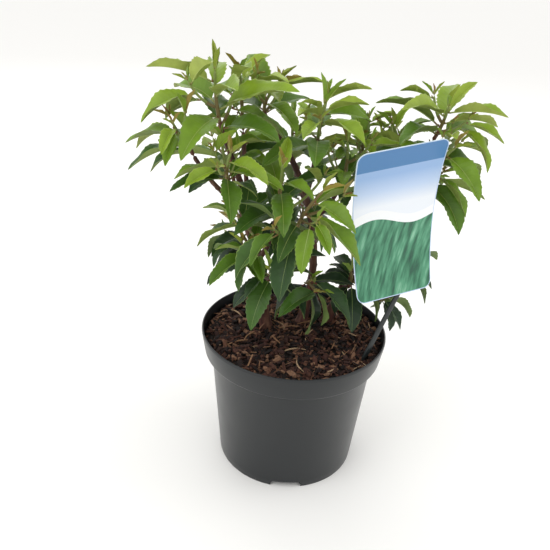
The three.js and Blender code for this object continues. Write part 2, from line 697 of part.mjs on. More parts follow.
// The compost, level but for its edge, clear of the pot's wall and floor
function soilSolid() {
  const collarFoot = POT_HEIGHT - COLLAR_HEIGHT;
  const wall = POT_WALL + GAP * 1.5;
  const profile = [
    [0, FLOOR_LIFT + POT_WALL + GAP], [BASE_RADIUS - wall, FLOOR_LIFT + POT_WALL + GAP],
    [WALL_TOP_RADIUS - wall, collarFoot + GAP], [COLLAR_RADIUS - wall, collarFoot + POT_WALL + 1],
    [COLLAR_RADIUS - wall + SOIL_SPREAD, SOIL_LEVEL - SOIL_EDGE_FALL],
    [COLLAR_RADIUS - wall + SOIL_SPREAD - SOIL_EDGE_WIDTH, SOIL_LEVEL], [0, SOIL_LEVEL],
  ].map(([radius, z]) => new THREE.Vector2(radius, z));
  return solidOf(new THREE.LatheGeometry(profile, POT_SIDES).rotateX(Math.PI / 2));
}

// Finishes: colour, roughness and metalness
const finish = (color, roughness) => new THREE.MeshStandardMaterial({ color, roughness, metalness: 0 });
const POT_PLASTIC = finish(0x1c1f21, 0.4);
const COMPOST = finish(0x4a2c1c, 0.95);
const BARK = finish(0x5b3a28, 0.8);
const YOUNG_LEAF = finish(0x7fa63a, 0.5);
const OLD_LEAF = finish(0x24582a, 0.4);
const CARD_PRINT = finish(0x7fa8cf, 0.35);
const STAKE_PLASTIC = finish(0x17191b, 0.45);

const plant = new THREE.Group();

function place(name, manifold, material) {
  const mesh = new THREE.Mesh(geometryOf(manifold), material);
  mesh.name = name;
  plant.add(mesh);
}

place('pot', potSolid(), POT_PLASTIC);
place('soil', soilSolid(), COMPOST);
place('label_card', cardSolid(), CARD_PRINT);
place('label_stake', stakeSolid(), STAKE_PLASTIC);

for (const stem of stems.values()) {
  takeLimb(stem, 'wood');
  place(stem.name, limbSolid(stem), BARK);
}
for (const bough of boughs) {
  takeLimb(bough, 'wood');
  place(bough.name, limbSolid(bough).subtract(limbSolid(bough.parent, GAP)), BARK);
}

// The label keeps its own room before the leaves grow
for (let height = -1; height <= 1; height += 0.1) {
  for (let side = -1; side <= 1; side += 0.2) {
    take(cardPoint(side, height, 0), CARD_CLEARANCE, 'label');
  }
}
const stakeTop = cardPoint(...STAKE_HEAD, 0);
for (let t = 0; t <= 1; t += 0.05) {
  take(vector([...STAKE_FOOT, SOIL_LEVEL]).lerp(stakeTop, t), STAKE_CLEARANCE, 'label');
}

for (const mass of MASSES) {
  mass.end = vector(mass.tip);
  const bend = mass.start.clone().addScaledVector(mass.slope, 0.45 * mass.start.distanceTo(mass.end));
  mass.shoot = shootOf(mass.start, bend, mass.end, SHOOT_THICK, SHOOT_THIN);
  mass.core = new THREE.Line3(mass.start, mass.end);
  mass.reach = mass.longest * REACH;
  takeLimb(mass.shoot, mass.name);
  mass.tipLeaves = tipLeaves(mass.shoot, mass.turn, dice(mass.seed + 1));
  mass.tipLeaves.forEach((leaf) => takeLeaf(leafSamples(leaf), mass));
}

// Each mass is fused into one body; a leaf that would seal a hollow is left off
for (const mass of MASSES) {
  const { pieces, leaves } = growMass(mass);
  let foliage = limbSolid(pieces[0]);
  for (const piece of [...pieces.slice(1).map((twig) => limbSolid(twig)), ...leaves.map(leafSolid)]) {
    const joined = foliage.add(piece);
    foliage = joined.decompose().length === 1 ? joined : foliage;
  }
  place(`leaves_${mass.name}`, foliage, mass.end.z > YOUNG_HEIGHT ? YOUNG_LEAF : OLD_LEAF);
}

export default plant;
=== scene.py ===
# %% [markdown]
# # A potted portuguese laurel
#
# This lesson dresses a young evergreen shrub in its nursery pot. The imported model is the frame: the pot, the
# compost, three stems with their boughs, a plain solid for each mass of leaves, and the plant label. Each of
# them gets its real surface here: moulded plastic, chips of bark, ridged bark, and leaves grown one by one.

# %% Load the frame
import math
from types import SimpleNamespace

import bmesh
import bpy
import numpy as np
from mathutils import Matrix, Vector, noise


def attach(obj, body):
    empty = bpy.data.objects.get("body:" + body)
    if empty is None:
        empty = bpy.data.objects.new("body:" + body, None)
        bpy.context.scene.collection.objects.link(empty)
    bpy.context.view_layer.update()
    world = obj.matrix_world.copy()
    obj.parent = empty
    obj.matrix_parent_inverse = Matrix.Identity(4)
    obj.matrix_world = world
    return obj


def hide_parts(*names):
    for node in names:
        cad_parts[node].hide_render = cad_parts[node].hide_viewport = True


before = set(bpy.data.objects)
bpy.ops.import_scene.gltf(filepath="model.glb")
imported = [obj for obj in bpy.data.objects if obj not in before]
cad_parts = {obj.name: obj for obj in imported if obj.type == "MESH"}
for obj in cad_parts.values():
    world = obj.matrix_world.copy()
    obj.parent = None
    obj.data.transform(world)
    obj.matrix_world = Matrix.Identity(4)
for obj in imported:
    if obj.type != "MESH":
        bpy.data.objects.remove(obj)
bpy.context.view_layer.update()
MM = 0.001
print("the frame has", len(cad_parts), "nodes")

# %% [markdown]
# ## The camera
#
# The photograph looks down on the plant from a little above its top, from half a metre away, and leans a
# little to one side. The camera is placed by its own three axes, so that the lean comes out as it was.

# %% Place the camera
PHOTO_PIXELS = 550
FOCAL_PIXELS = 627.4
SENSOR_WIDTH = 36
CAMERA_PLACE = Vector((-22.5, -552.7, 485.4)) * MM
LOOKS_DOWN = math.radians(26.75)
LEANS = math.radians(-3.51)


def place_camera():
    ahead = Vector((0, math.cos(LOOKS_DOWN), -math.sin(LOOKS_DOWN)))
    level = Vector((1, 0, 0))
    down = ahead.cross(level)
    right = level * math.cos(LEANS) + down * math.sin(LEANS)
    lowered = down * math.cos(LEANS) - level * math.sin(LEANS)
    data = bpy.data.cameras.new("photo_view")
    data.sensor_width = SENSOR_WIDTH
    data.lens = SENSOR_WIDTH * FOCAL_PIXELS / PHOTO_PIXELS
    camera = bpy.data.objects.new("photo_view", data)
    turn = Matrix((right, -lowered, -ahead)).transposed().to_4x4()
    camera.matrix_world = Matrix.Translation(CAMERA_PLACE) @ turn
    bpy.context.scene.collection.objects.link(camera)
    bpy.context.scene.camera = camera


place_camera()

# %% [markdown]
# ## Floor and light
#
# The plant is lit by bright, even daylight, on a floor so pale that it all but melts into the air behind. A
# white world gives the even part, and large area lights give the leaves their soft shine and the shadows.

# %% Paint, finishes and nodes
def paint(red, green, blue):
    """A colour as a paint chart gives it, 0 to 255, turned into the numbers that light mixes in."""
    shares = [value / 255 for value in (red, green, blue)]
    return [s / 12.92 if s <= 0.04045 else ((s + 0.055) / 1.055) ** 2.4 for s in shares] + [1.0]


def shade(colour, share):
    """A paint chart's colour, made darker or lighter."""
    return [min(1.0, channel * share) for channel in paint(*colour)[:3]] + [1.0]


def new_finish(name, colour, roughness, specular):
    finish = bpy.data.materials.new(name)
    finish.use_nodes = True
    shader = finish.node_tree.nodes["Principled BSDF"]
    shader.inputs["Base Color"].default_value = colour
    shader.inputs["Roughness"].default_value = roughness
    shader.inputs["Specular IOR Level"].default_value = specular
    return finish


def add_node(finish, kind, **settings):
    node = finish.node_tree.nodes.new(kind)
    for name, value in settings.items():
        setattr(node, name, value)
    return node


def wire(finish, source, target):
    finish.node_tree.links.new(source, target)


def set_shader(finish, name, source):
    wire(finish, source, finish.node_tree.nodes["Principled BSDF"].inputs[name])


def colour_by(finish, share, *colours):
    """Colours a finish by a row of colours, from a share between 0 and 1."""
    set_shader(finish, "Base Color", blend_colours(finish, share, *colours))


def grain_of(finish, scale, detail=4.0, stretch=(1, 1, 1), where="Object", turn=0.0):
    """A cloudy pattern that stays where it is on the piece."""
    place = add_node(finish, "ShaderNodeTexCoord")
    mapping = add_node(finish, "ShaderNodeMapping", vector_type="TEXTURE")
    mapping.inputs["Scale"].default_value = [1 / share for share in stretch]
    mapping.inputs["Rotation"].default_value = (0, 0, turn)
    grain = add_node(finish, "ShaderNodeTexNoise")
    grain.inputs["Scale"].default_value = scale
    grain.inputs["Detail"].default_value = detail
    wire(finish, place.outputs[where], mapping.inputs["Vector"])
    wire(finish, mapping.outputs["Vector"], grain.inputs["Vector"])
    return grain.outputs["Fac"]


def blend_colours(finish, share, *colours, first=0.25, spread=0.5):
    """Runs a share through a row of colours, set evenly over the middle of the range from 0 to 1."""
    ramp = add_node(finish, "ShaderNodeValToRGB")
    while len(ramp.color_ramp.elements) < len(colours):
        ramp.color_ramp.elements.new(first + spread / 2)
    for i, colour in enumerate(colours):
        ramp.color_ramp.elements[i].position = first + spread * i / (len(colours) - 1)
        ramp.color_ramp.elements[i].color = colour
    wire(finish, share, ramp.inputs["Fac"])
    return ramp.outputs["Color"]


def bump(finish, height, depth, strength):
    node = add_node(finish, "ShaderNodeBump")
    node.inputs["Distance"].default_value = depth
    node.inputs["Strength"].default_value = strength
    wire(finish, height, node.inputs["Height"])
    set_shader(finish, "Normal", node.outputs["Normal"])


def vary_roughness(finish, share, low, high):
    spread = add_node(finish, "ShaderNodeMapRange")
    spread.inputs["To Min"].default_value = low
    spread.inputs["To Max"].default_value = high
    wire(finish, share, spread.inputs["Value"])
    set_shader(finish, "Roughness", spread.outputs["Result"])


def reckon(finish, value, *steps):
    """Arithmetic on a socket or number. Each step is a kind of sum and the number or socket it brings in."""
    for kind, *second in steps:
        node = add_node(finish, "ShaderNodeMath", operation=kind)
        for socket, term in zip(node.inputs, (value, *second)):
            if isinstance(term, (int, float)):
                socket.default_value = term
            else:
                wire(finish, term, socket)
        value = node.outputs["Value"]
    return value


def grained(name, colour, roughness, specular, scale, detail, depth, strength):
    """A finish of one colour with a fine grain in its surface."""
    finish = new_finish(name, colour, roughness, specular)
    bump(finish, grain_of(finish, scale, detail), depth, strength)
    return finish


def row_of(make, name, tones, *ways):
    """A row of finishes of one kind, one for each tone."""
    return [make(f"{name}_{i}", tone, *ways) for i, tone in enumerate(tones)]


# %% From a bmesh to a piece
SAME_PLACE = 1e-5


def new_grid(columns, rows, half=1):
    """A bmesh that holds a flat square grid."""
    bm = bmesh.new()
    bmesh.ops.create_grid(bm, x_segments=columns, y_segments=rows, size=half)
    return bm


def shown(name, mesh):
    piece = bpy.data.objects.new(name, mesh)
    bpy.context.scene.collection.objects.link(piece)
    return piece


def piece_from(name, bm, finishes, sharp=math.radians(40)):
    mesh = bpy.data.meshes.new(name)
    bm.to_mesh(mesh)
    bm.free()
    for finish in finishes:
        mesh.materials.append(finish)
    mesh.shade_smooth()
    mesh.set_sharp_from_angle(angle=sharp)
    return shown(name, mesh)


def belongs(piece, slot, *nodes):
    """The piece stands for these nodes, which are hidden, and joins the root body. The slot is not used."""
    if nodes:
        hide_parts(*nodes)
    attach(piece, "root")
    return piece


# %% Lay the floor and hang the lights
FLOOR_HALF = 15
FLOOR_WHITE = paint(250, 249, 246)
SKY_STRENGTH = 1.0
LIGHTS_AIM = Vector((0, 0, 0.25))
LIGHTS = [
    ("window_left", (-1.4, -1.0, 1.5), 1.4, 1.4, 11),
    ("window_right", (1.6, 0.2, 1.4), 1.0, 1.4, 5),
    ("window_behind", (-0.4, 1.7, 1.5), 1.8, 1.0, 8),
]


def lay_floor():
    pale = grained(
        "pale_floor", FLOOR_WHITE, roughness=0.9, specular=0.2, scale=900, detail=4.0,
        depth=0.0002, strength=0.2,
    )
    piece_from("floor", new_grid(1, 1, FLOOR_HALF), [pale])


def hang_light(name, place, width, height, power):
    data = bpy.data.lights.new(name, "AREA")
    data.shape = "RECTANGLE"
    data.size = width
    data.size_y = height
    data.energy = power
    light = bpy.data.objects.new(name, data)
    light.location = place
    light.rotation_euler = (LIGHTS_AIM - light.location).to_track_quat("-Z", "Y").to_euler()
    bpy.context.scene.collection.objects.link(light)


world = bpy.data.worlds.new("white_tent")
world.use_nodes = True
world.node_tree.nodes["Background"].inputs["Color"].default_value = (1, 1, 1, 1)
world.node_tree.nodes["Background"].inputs["Strength"].default_value = SKY_STRENGTH
bpy.context.scene.world = world
bpy.context.scene.view_settings.view_transform = "Standard"
lay_floor()
for light in LIGHTS:
    hang_light(*light)
print("the scene has", len(LIGHTS), "lights")

# %% [markdown]
# ## The pot
#
# A nursery pot is moulded in one thin wall: a foot with notches that let water out, a tapering side and a
# stiff raised collar. The wall is one outline, with its corners rounded, spun round the axis. Boxes cut the
# notches and the slots of the floor, as pins in the mould do.

# %% Spin the pot
POT_HEIGHT = 150
RIM_RADIUS = 94
COLLAR_RADIUS = 90.5
COLLAR_HEIGHT = 25
WALL_TOP_RADIUS = 83.5
BASE_RADIUS = 72.6
POT_WALL = 1.6
FLOOR_LIFT = 7
PAD_RADIUS = 30
FLOOR_SLOPE = 3
FOOT_RING_WIDTH = 6
FOOT_BAND_OVER_NOTCH = 3
COLLAR_STEP = 1
COLLAR_LIP = 1.4
RIM_BAND = 2.5
RIM_DRAFT = 0.3
DRAIN_NOTCHES = 3
NOTCH_WIDTH = 31
NOTCH_HEIGHT = 6.5
NOTCH_ROUNDING = 0.7
NOTCH_FAR = BASE_RADIUS + 1.5
NOTCH_DEPTH = FOOT_RING_WIDTH * 2 + 6
FRONT_NOTCH_TURN = -89
DRAIN_SLOTS = 8
SLOT_LENGTH = 22
SLOT_WIDTH = 6
SLOT_CENTRE = 48
POT_STEPS = 144
CORNER_ROUNDING = 0.55


def pot_outline():
    """Radius and height along the wall, from the middle of the foot, up outside, and down inside."""
    collar_foot = POT_HEIGHT - COLLAR_HEIGHT
    ring = BASE_RADIUS - FOOT_RING_WIDTH
    under = [
        (0, 0), (PAD_RADIUS, 0), (PAD_RADIUS + FLOOR_SLOPE, FLOOR_LIFT), (ring - FLOOR_SLOPE, FLOOR_LIFT),
        (ring, 0),
    ]
    above_notch = NOTCH_HEIGHT + FOOT_BAND_OVER_NOTCH
    lean = (WALL_TOP_RADIUS - BASE_RADIUS) / collar_foot
    outside = [
        (BASE_RADIUS, 0), (BASE_RADIUS + lean * above_notch, above_notch),
        (WALL_TOP_RADIUS, collar_foot - COLLAR_STEP), (COLLAR_RADIUS - COLLAR_STEP, collar_foot),
        (COLLAR_RADIUS, collar_foot + COLLAR_LIP), (RIM_RADIUS, POT_HEIGHT - RIM_BAND),
        (RIM_RADIUS - RIM_DRAFT, POT_HEIGHT), (RIM_RADIUS - POT_WALL, POT_HEIGHT),
    ]
    inside = [
        (COLLAR_RADIUS - POT_WALL, collar_foot + POT_WALL), (WALL_TOP_RADIUS - POT_WALL, collar_foot),
        (BASE_RADIUS - POT_WALL, FLOOR_LIFT + POT_WALL), (0, FLOOR_LIFT + POT_WALL),
    ]
    return under + outside + inside


def block_at(bm, turn, far, size):
    """Adds a block, turned about the axis by so many degrees and so far out, and gives its corners."""
    place = Matrix.Rotation(math.radians(turn), 4, "Z") @ Matrix.Translation((far * MM, 0, 0))
    stretch = Matrix.Diagonal([side * MM for side in size] + [1])
    return bmesh.ops.create_cube(bm, size=1, matrix=place @ stretch)["verts"]


def drain_cutters():
    """The blocks that leave the notches of the foot and the slots of the floor."""
    bm = bmesh.new()
    for i in range(DRAIN_NOTCHES):
        turn = FRONT_NOTCH_TURN + 360 / DRAIN_NOTCHES * i
        corners = block_at(bm, turn, NOTCH_FAR, (NOTCH_DEPTH, NOTCH_WIDTH, NOTCH_HEIGHT * 2))
        lengthwise = [
            edge for edge in bm.edges
            if edge.verts[0] in corners and abs(edge.calc_length() - NOTCH_DEPTH * MM) < SAME_PLACE
        ]
        bmesh.ops.bevel(
            bm, geom=lengthwise, offset=NOTCH_HEIGHT * NOTCH_ROUNDING * MM, segments=5, profile=0.5,
            affect="EDGES", material=-1,
        )
    for i in range(DRAIN_SLOTS):
        turn = 360 / DRAIN_SLOTS * (i + 0.5)
        block_at(bm, turn, SLOT_CENTRE, (SLOT_LENGTH, SLOT_WIDTH, FLOOR_LIFT * 4))
    return bm


def cut_away(piece, cutters):
    """Takes the cutters' space out of the piece, and the cutters out of the scene."""
    tool = piece_from("cutters", cutters, [])
    cut = piece.modifiers.new("cut", "BOOLEAN")
    cut.operation = "DIFFERENCE"
    cut.solver = "EXACT"
    cut.object = tool
    seen = piece.evaluated_get(bpy.context.evaluated_depsgraph_get())
    mesh = bpy.data.meshes.new_from_object(seen)
    piece.modifiers.clear()
    piece.data = mesh
    bpy.data.objects.remove(tool)


def pot_plastic():
    finish = grained(
        "black_pot_plastic", paint(17, 22, 25), roughness=0.3, specular=0.5, scale=1400, detail=2.0,
        depth=0.00005, strength=0.35,
    )
    vary_roughness(finish, grain_of(finish, scale=35, detail=3.0), low=0.26, high=0.38)
    return finish


def make_pot():
    bm = bmesh.new()
    corners = [bm.verts.new((radius * MM, 0, z * MM)) for radius, z in pot_outline()]
    for low, high in zip(corners, corners[1:]):
        bm.edges.new((low, high))
    bmesh.ops.bevel(
        bm, geom=corners[1:-1], offset=CORNER_ROUNDING * MM, segments=3, profile=0.5,
        affect="VERTICES", material=-1,
    )
    bmesh.ops.spin(
        bm, geom=bm.verts[:] + bm.edges[:], cent=(0, 0, 0), axis=(0, 0, 1), angle=math.tau,
        steps=POT_STEPS, use_merge=True,
    )
    bmesh.ops.remove_doubles(bm, verts=bm.verts, dist=SAME_PLACE)
    bmesh.ops.recalc_face_normals(bm, faces=bm.faces)
    pot = piece_from("nursery_pot", bm, [pot_plastic()])
    cut_away(pot, drain_cutters())
    pot.data.set_sharp_from_angle(angle=math.radians(35))
    print("the pot has", len(pot.data.polygons), "faces")
    return belongs(pot, "pot_plastic", "pot")


make_pot()

# %% [markdown]
# ## Many small things as one mesh
#
# Leaves, twigs, buds and chips come by the hundred. Each kind starts as one small bmesh, the pattern piece.
# Its corners are then laid out again and again, each time bent to the place of one leaf or one chip, and a
# heap joins them into one mesh. That is quick, and the heap's faces remember which finish each one has.

# %% Pattern pieces and heaps
def pattern_from(bm):
    """The corners, faces and finish numbers of a small bmesh, as arrays."""
    bm.verts.index_update()
    pattern = SimpleNamespace(
        corners=np.array([v.co[:] for v in bm.verts]),
        loops=np.array([loop.vert.index for face in bm.faces for loop in face.loops]),
        sizes=np.array([len(face.verts) for face in bm.faces]),
        tones=np.array([face.material_index for face in bm.faces]),
    )
    bm.free()
    return pattern


def starts_of(sizes):
    """Where each face's own corners start in the row of all faces' corners."""
    return np.concatenate([[0], np.cumsum(sizes)[:-1]])


class Heap:
    """Bent copies of pattern pieces, joined into one mesh."""

    def __init__(self):
        self.points, self.loops, self.sizes, self.tones, self.coords = [], [], [], [], []
        self.count = 0

    def add(self, pattern, points, finishes, coords=None):
        """Finishes gives, for each finish number of the pattern, the finish that this copy has there."""
        self.points.append(points)
        self.loops.append(pattern.loops + self.count)
        self.sizes.append(pattern.sizes)
        self.tones.append(np.array(finishes, object)[pattern.tones])
        flat = np.zeros((len(points), 2)) if coords is None else coords
        self.coords.append(flat[pattern.loops])
        self.count += len(points)

    def piece(self, name, sharp=math.radians(50)):
        mesh = bpy.data.meshes.new(name)
        points = np.concatenate(self.points) * MM
        loops = np.concatenate(self.loops)
        sizes = np.concatenate(self.sizes)
        tones = np.concatenate(self.tones)
        used = sorted(set(tones), key=lambda finish: finish.name)
        mesh.vertices.add(len(points))
        mesh.vertices.foreach_set("co", points.astype(np.float32).ravel())
        mesh.loops.add(len(loops))
        mesh.loops.foreach_set("vertex_index", loops.astype(np.int32))
        mesh.polygons.add(len(sizes))
        mesh.polygons.foreach_set("loop_start", starts_of(sizes).astype(np.int32))
        for finish in used:
            mesh.materials.append(finish)
        numbers = {finish: i for i, finish in enumerate(used)}
        mesh.polygons.foreach_set("material_index", np.array([numbers[t] for t in tones], np.int32))
        layer = mesh.uv_layers.new(name="UVMap")
        layer.data.foreach_set("uv", np.concatenate(self.coords).astype(np.float32).ravel())
        mesh.update(calc_edges=True)
        mesh.validate()
        mesh.shade_smooth()
        mesh.set_sharp_from_angle(angle=sharp)
        return shown(name, mesh)


# %% [markdown]
# ## The compost
#
# Nursery compost is topped with shredded bark: flat reddish chips, dark crumbs and a few pale splinters,
# lying every way. The frame's own solid stays as the dark bed, and the chips lie on it and against the rim.

# %% Strew the bark chips
SOIL_LEVEL = 140
SOIL_RADIUS = 88.5
CHIP_TONES = [
    (60, 38, 32), (86, 54, 43), (112, 76, 58), (42, 29, 26), (74, 46, 39), (31, 23, 22), (142, 106, 82),
]
SPLINTER_TONES = [(198, 166, 132), (164, 124, 92)]
CHIP_SEED = 41
CHIP_SHAPES = 6
CHIP_BEVEL = 0.16
CHIP_UNEVEN = 0.13
CHIP_TILT = 0.42
CHIP_ROLL = 0.5
CHIP_INSET = 0.35
EDGE_BAND = 8
EDGE_DROP = 2.2
FIBRES = 16
FIBRE_FAR = (10, 70)
FIBRE_LENGTH = (12, 30)
FIBRE_BOW = 0.22
FIBRE_THICK = 0.55
FIBRE_TAPER = 0.6
FIBRE_LIFT = 1.6
FIBRE_REST = 2.2


def bark_finish(name, colour):
    finish = new_finish(name, paint(*colour), roughness=0.85, specular=0.3)
    grain = grain_of(finish, scale=420, detail=5.0, stretch=(1, 1, 0.5))
    colour_by(finish, grain, shade(colour, 0.45), paint(*colour))
    bump(finish, grain, depth=0.0006, strength=0.8)
    return finish


def chip_pattern(seed, taper):
    """A block with its corners pushed about. One that tapers has its edges knocked off too."""
    bm = bmesh.new()
    bmesh.ops.create_cube(bm, size=1)
    if taper < 1:
        bmesh.ops.bevel(
            bm, geom=bm.edges[:], offset=CHIP_BEVEL, segments=1, profile=0.5, affect="EDGES", material=-1,
        )
    generator = np.random.default_rng(seed)
    for vert in bm.verts:
        vert.co += Vector(generator.uniform(-CHIP_UNEVEN, CHIP_UNEVEN, 3))
        vert.co.y *= 1 - (1 - taper) * abs(vert.co.x)
    return pattern_from(bm)


def turned(points, yaw, tilt, roll):
    turn = Matrix.Rotation(yaw, 3, "Z") @ Matrix.Rotation(tilt, 3, "Y") @ Matrix.Rotation(roll, 3, "X")
    return points @ np.array(turn).T


def on_compost(far, around, height):
    """A place so far from the pot's axis, so far round it, and so high over the compost."""
    return np.array([far * math.cos(around), far * math.sin(around), SOIL_LEVEL + height])


def strew(heap, generator, patterns, tones, count, length, width, thickness, lift):
    """Lays so many pieces on the compost, of lengths, widths and thicknesses between two sizes."""
    for i in range(count):
        pattern = patterns[i % len(patterns)]
        size = np.array([generator.uniform(*span) for span in (length, width, thickness)])
        far = SOIL_RADIUS * math.sqrt(generator.uniform(0, 1))
        around = generator.uniform(0, math.tau)
        far = min(far, SOIL_RADIUS - size[0] * CHIP_INSET)
        edge = max(0, far - SOIL_RADIUS + EDGE_BAND) / EDGE_BAND
        height = generator.uniform(*lift) - EDGE_DROP * edge
        spin = generator.uniform(0, math.tau)
        tilt = generator.normal(0, CHIP_TILT)
        points = turned(pattern.corners * size, spin, tilt, generator.normal(0, CHIP_ROLL))
        heap.add(pattern, points + on_compost(far, around, height), [tones[generator.integers(len(tones))]])


def strand_pattern():
    """A bar along X from -1 to 1, cut across so that it can curve."""
    bm = bmesh.new()
    bmesh.ops.create_cube(bm, size=2)
    lengthwise = [edge for edge in bm.edges if abs(edge.verts[0].co.x - edge.verts[1].co.x) > 1]
    bmesh.ops.subdivide_edges(bm, edges=lengthwise, cuts=9, use_grid_fill=True)
    return pattern_from(bm)


def lay_fibres(heap, generator, tones):
    """Long thin shreds of bark that lie in a curve on top of the rest."""
    strand = strand_pattern()
    x, y, z = strand.corners.T
    thick = FIBRE_THICK * (1 - FIBRE_TAPER * x**2)
    for i in range(FIBRES):
        far = generator.uniform(*FIBRE_FAR)
        around = generator.uniform(0, math.tau)
        spin = generator.uniform(0, math.tau)
        long = generator.uniform(*FIBRE_LENGTH)
        bow = generator.uniform(-FIBRE_BOW, FIBRE_BOW)
        lift = z * thick + FIBRE_LIFT * (1 - x**2)
        points = turned(np.stack([x * long / 2, y * thick + bow * long * x**2, lift], 1), spin, 0, 0)
        heap.add(strand, points + on_compost(far, around, FIBRE_REST), [tones[i % len(tones)]])


def lay_compost():
    bed = bark_finish("dark_compost", (36, 26, 22))
    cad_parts["soil"].data.materials.clear()
    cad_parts["soil"].data.materials.append(bed)
    browns = row_of(bark_finish, "bark_chip", CHIP_TONES)
    pale = row_of(bark_finish, "pale_splinter", SPLINTER_TONES)
    generator = np.random.default_rng(CHIP_SEED)
    shards = [chip_pattern(seed, taper=0.5) for seed in range(CHIP_SHAPES)]
    blocks = [chip_pattern(seed, taper=1.0) for seed in range(CHIP_SHAPES, 2 * CHIP_SHAPES)]
    chips = dict(count=1300, length=(4, 14), width=(1.8, 6), thickness=(0.7, 2.0), lift=(-1.2, 3.2))
    crumbs = dict(count=1100, length=(1.5, 5), width=(1, 3), thickness=(0.8, 2.2), lift=(-0.8, 2.6))
    splinters = dict(count=46, length=(4, 16), width=(0.6, 1.8), thickness=(0.5, 1.0), lift=(1.2, 3.4))
    heap = Heap()
    kinds = (shards, browns, chips), (blocks, browns, crumbs), (shards, pale, splinters)
    for patterns, tones, sizes in kinds:
        strew(heap, generator, patterns, tones, **sizes)
    lay_fibres(heap, generator, pale)
    litter = heap.piece("bark_chips", math.radians(25))
    print("the compost has", len(litter.data.polygons), "faces of bark")
    return belongs(litter, "compost")


lay_compost()

# %% [markdown]
# ## The stems and boughs
#
# Young laurel bark is smooth and reddish brown, with fine cracks, and a swelling with a scar wherever a leaf
# once stood. Each limb is a tube of rings bent along its curve, and the relief is pushed into the rings
# themselves, so that it is there in the shape as well as in the finish.

# %% Curves of limbs
GAP = 0.3
STEMS = {
    "left": dict(foot=(-30, 12), bend=(-34, -2, 240), tip=(-73, -12, 342), thick=5.0, thin=2.3),
    "centre": dict(foot=(8, 25), bend=(36, 22, 262), tip=(-38, 23, 354), thick=4.4, thin=2.3),
    "right": dict(foot=(35, 30), bend=(62, 12, 245), tip=(112, 10, 347), thick=4.6, thin=2.3),
}
ROOT_FLARE = 3.2
FLARE_HEIGHT = 9
BOUGH_SHARE = 0.76
BOUGH_TAPER = 0.75
BOUGH_BEND = 0.6
BOUGH_RISE = 0.3


def along(values):
    """One number, or a row of them, shaped so that it scales points."""
    return np.asarray(values, float)[..., None]


def unit(vectors):
    return vectors / np.linalg.norm(vectors, axis=-1, keepdims=True)


def point_on(curve, t):
    t = along(t)
    return (1 - t) ** 2 * curve[0] + 2 * (1 - t) * t * curve[1] + t**2 * curve[2]


def slope_on(curve, t):
    t = along(t)
    return unit((curve[1] - curve[0]) * (1 - t) + (curve[2] - curve[1]) * t)


def across_of(slope):
    """Two directions square to a slope, the first as near to +X as it can be."""
    first = unit(np.array([1.0, 0.0, 0.0]) - slope * slope[..., :1])
    return first, np.cross(slope, first)


def aside_of(curve, share, angle):
    """The slope of a curve at a share of it, and the direction square to it at that angle round it."""
    slope = slope_on(curve, share)
    first, second = across_of(slope)
    return slope, first * math.cos(angle) + second * math.sin(angle)


def new_limb(curve, thick, thin, flare=0.0):
    curve = [np.asarray(point, float) for point in curve]
    return SimpleNamespace(curve=curve, thick=thick, thin=thin, flare=flare)


def span_of(limb):
    return np.linalg.norm(limb.curve[2] - limb.curve[0])


def radius_on(limb, t):
    height = point_on(limb.curve, t)[..., 2] - limb.curve[0][2]
    flare = limb.flare * np.exp(-height / FLARE_HEIGHT) if limb.flare else 0
    return limb.thick + (limb.thin - limb.thick) * np.asarray(t, float) + flare


stems = {
    name: new_limb([(*s["foot"], SOIL_LEVEL + GAP), s["bend"], s["tip"]], s["thick"], s["thin"], ROOT_FLARE)
    for name, s in STEMS.items()
}

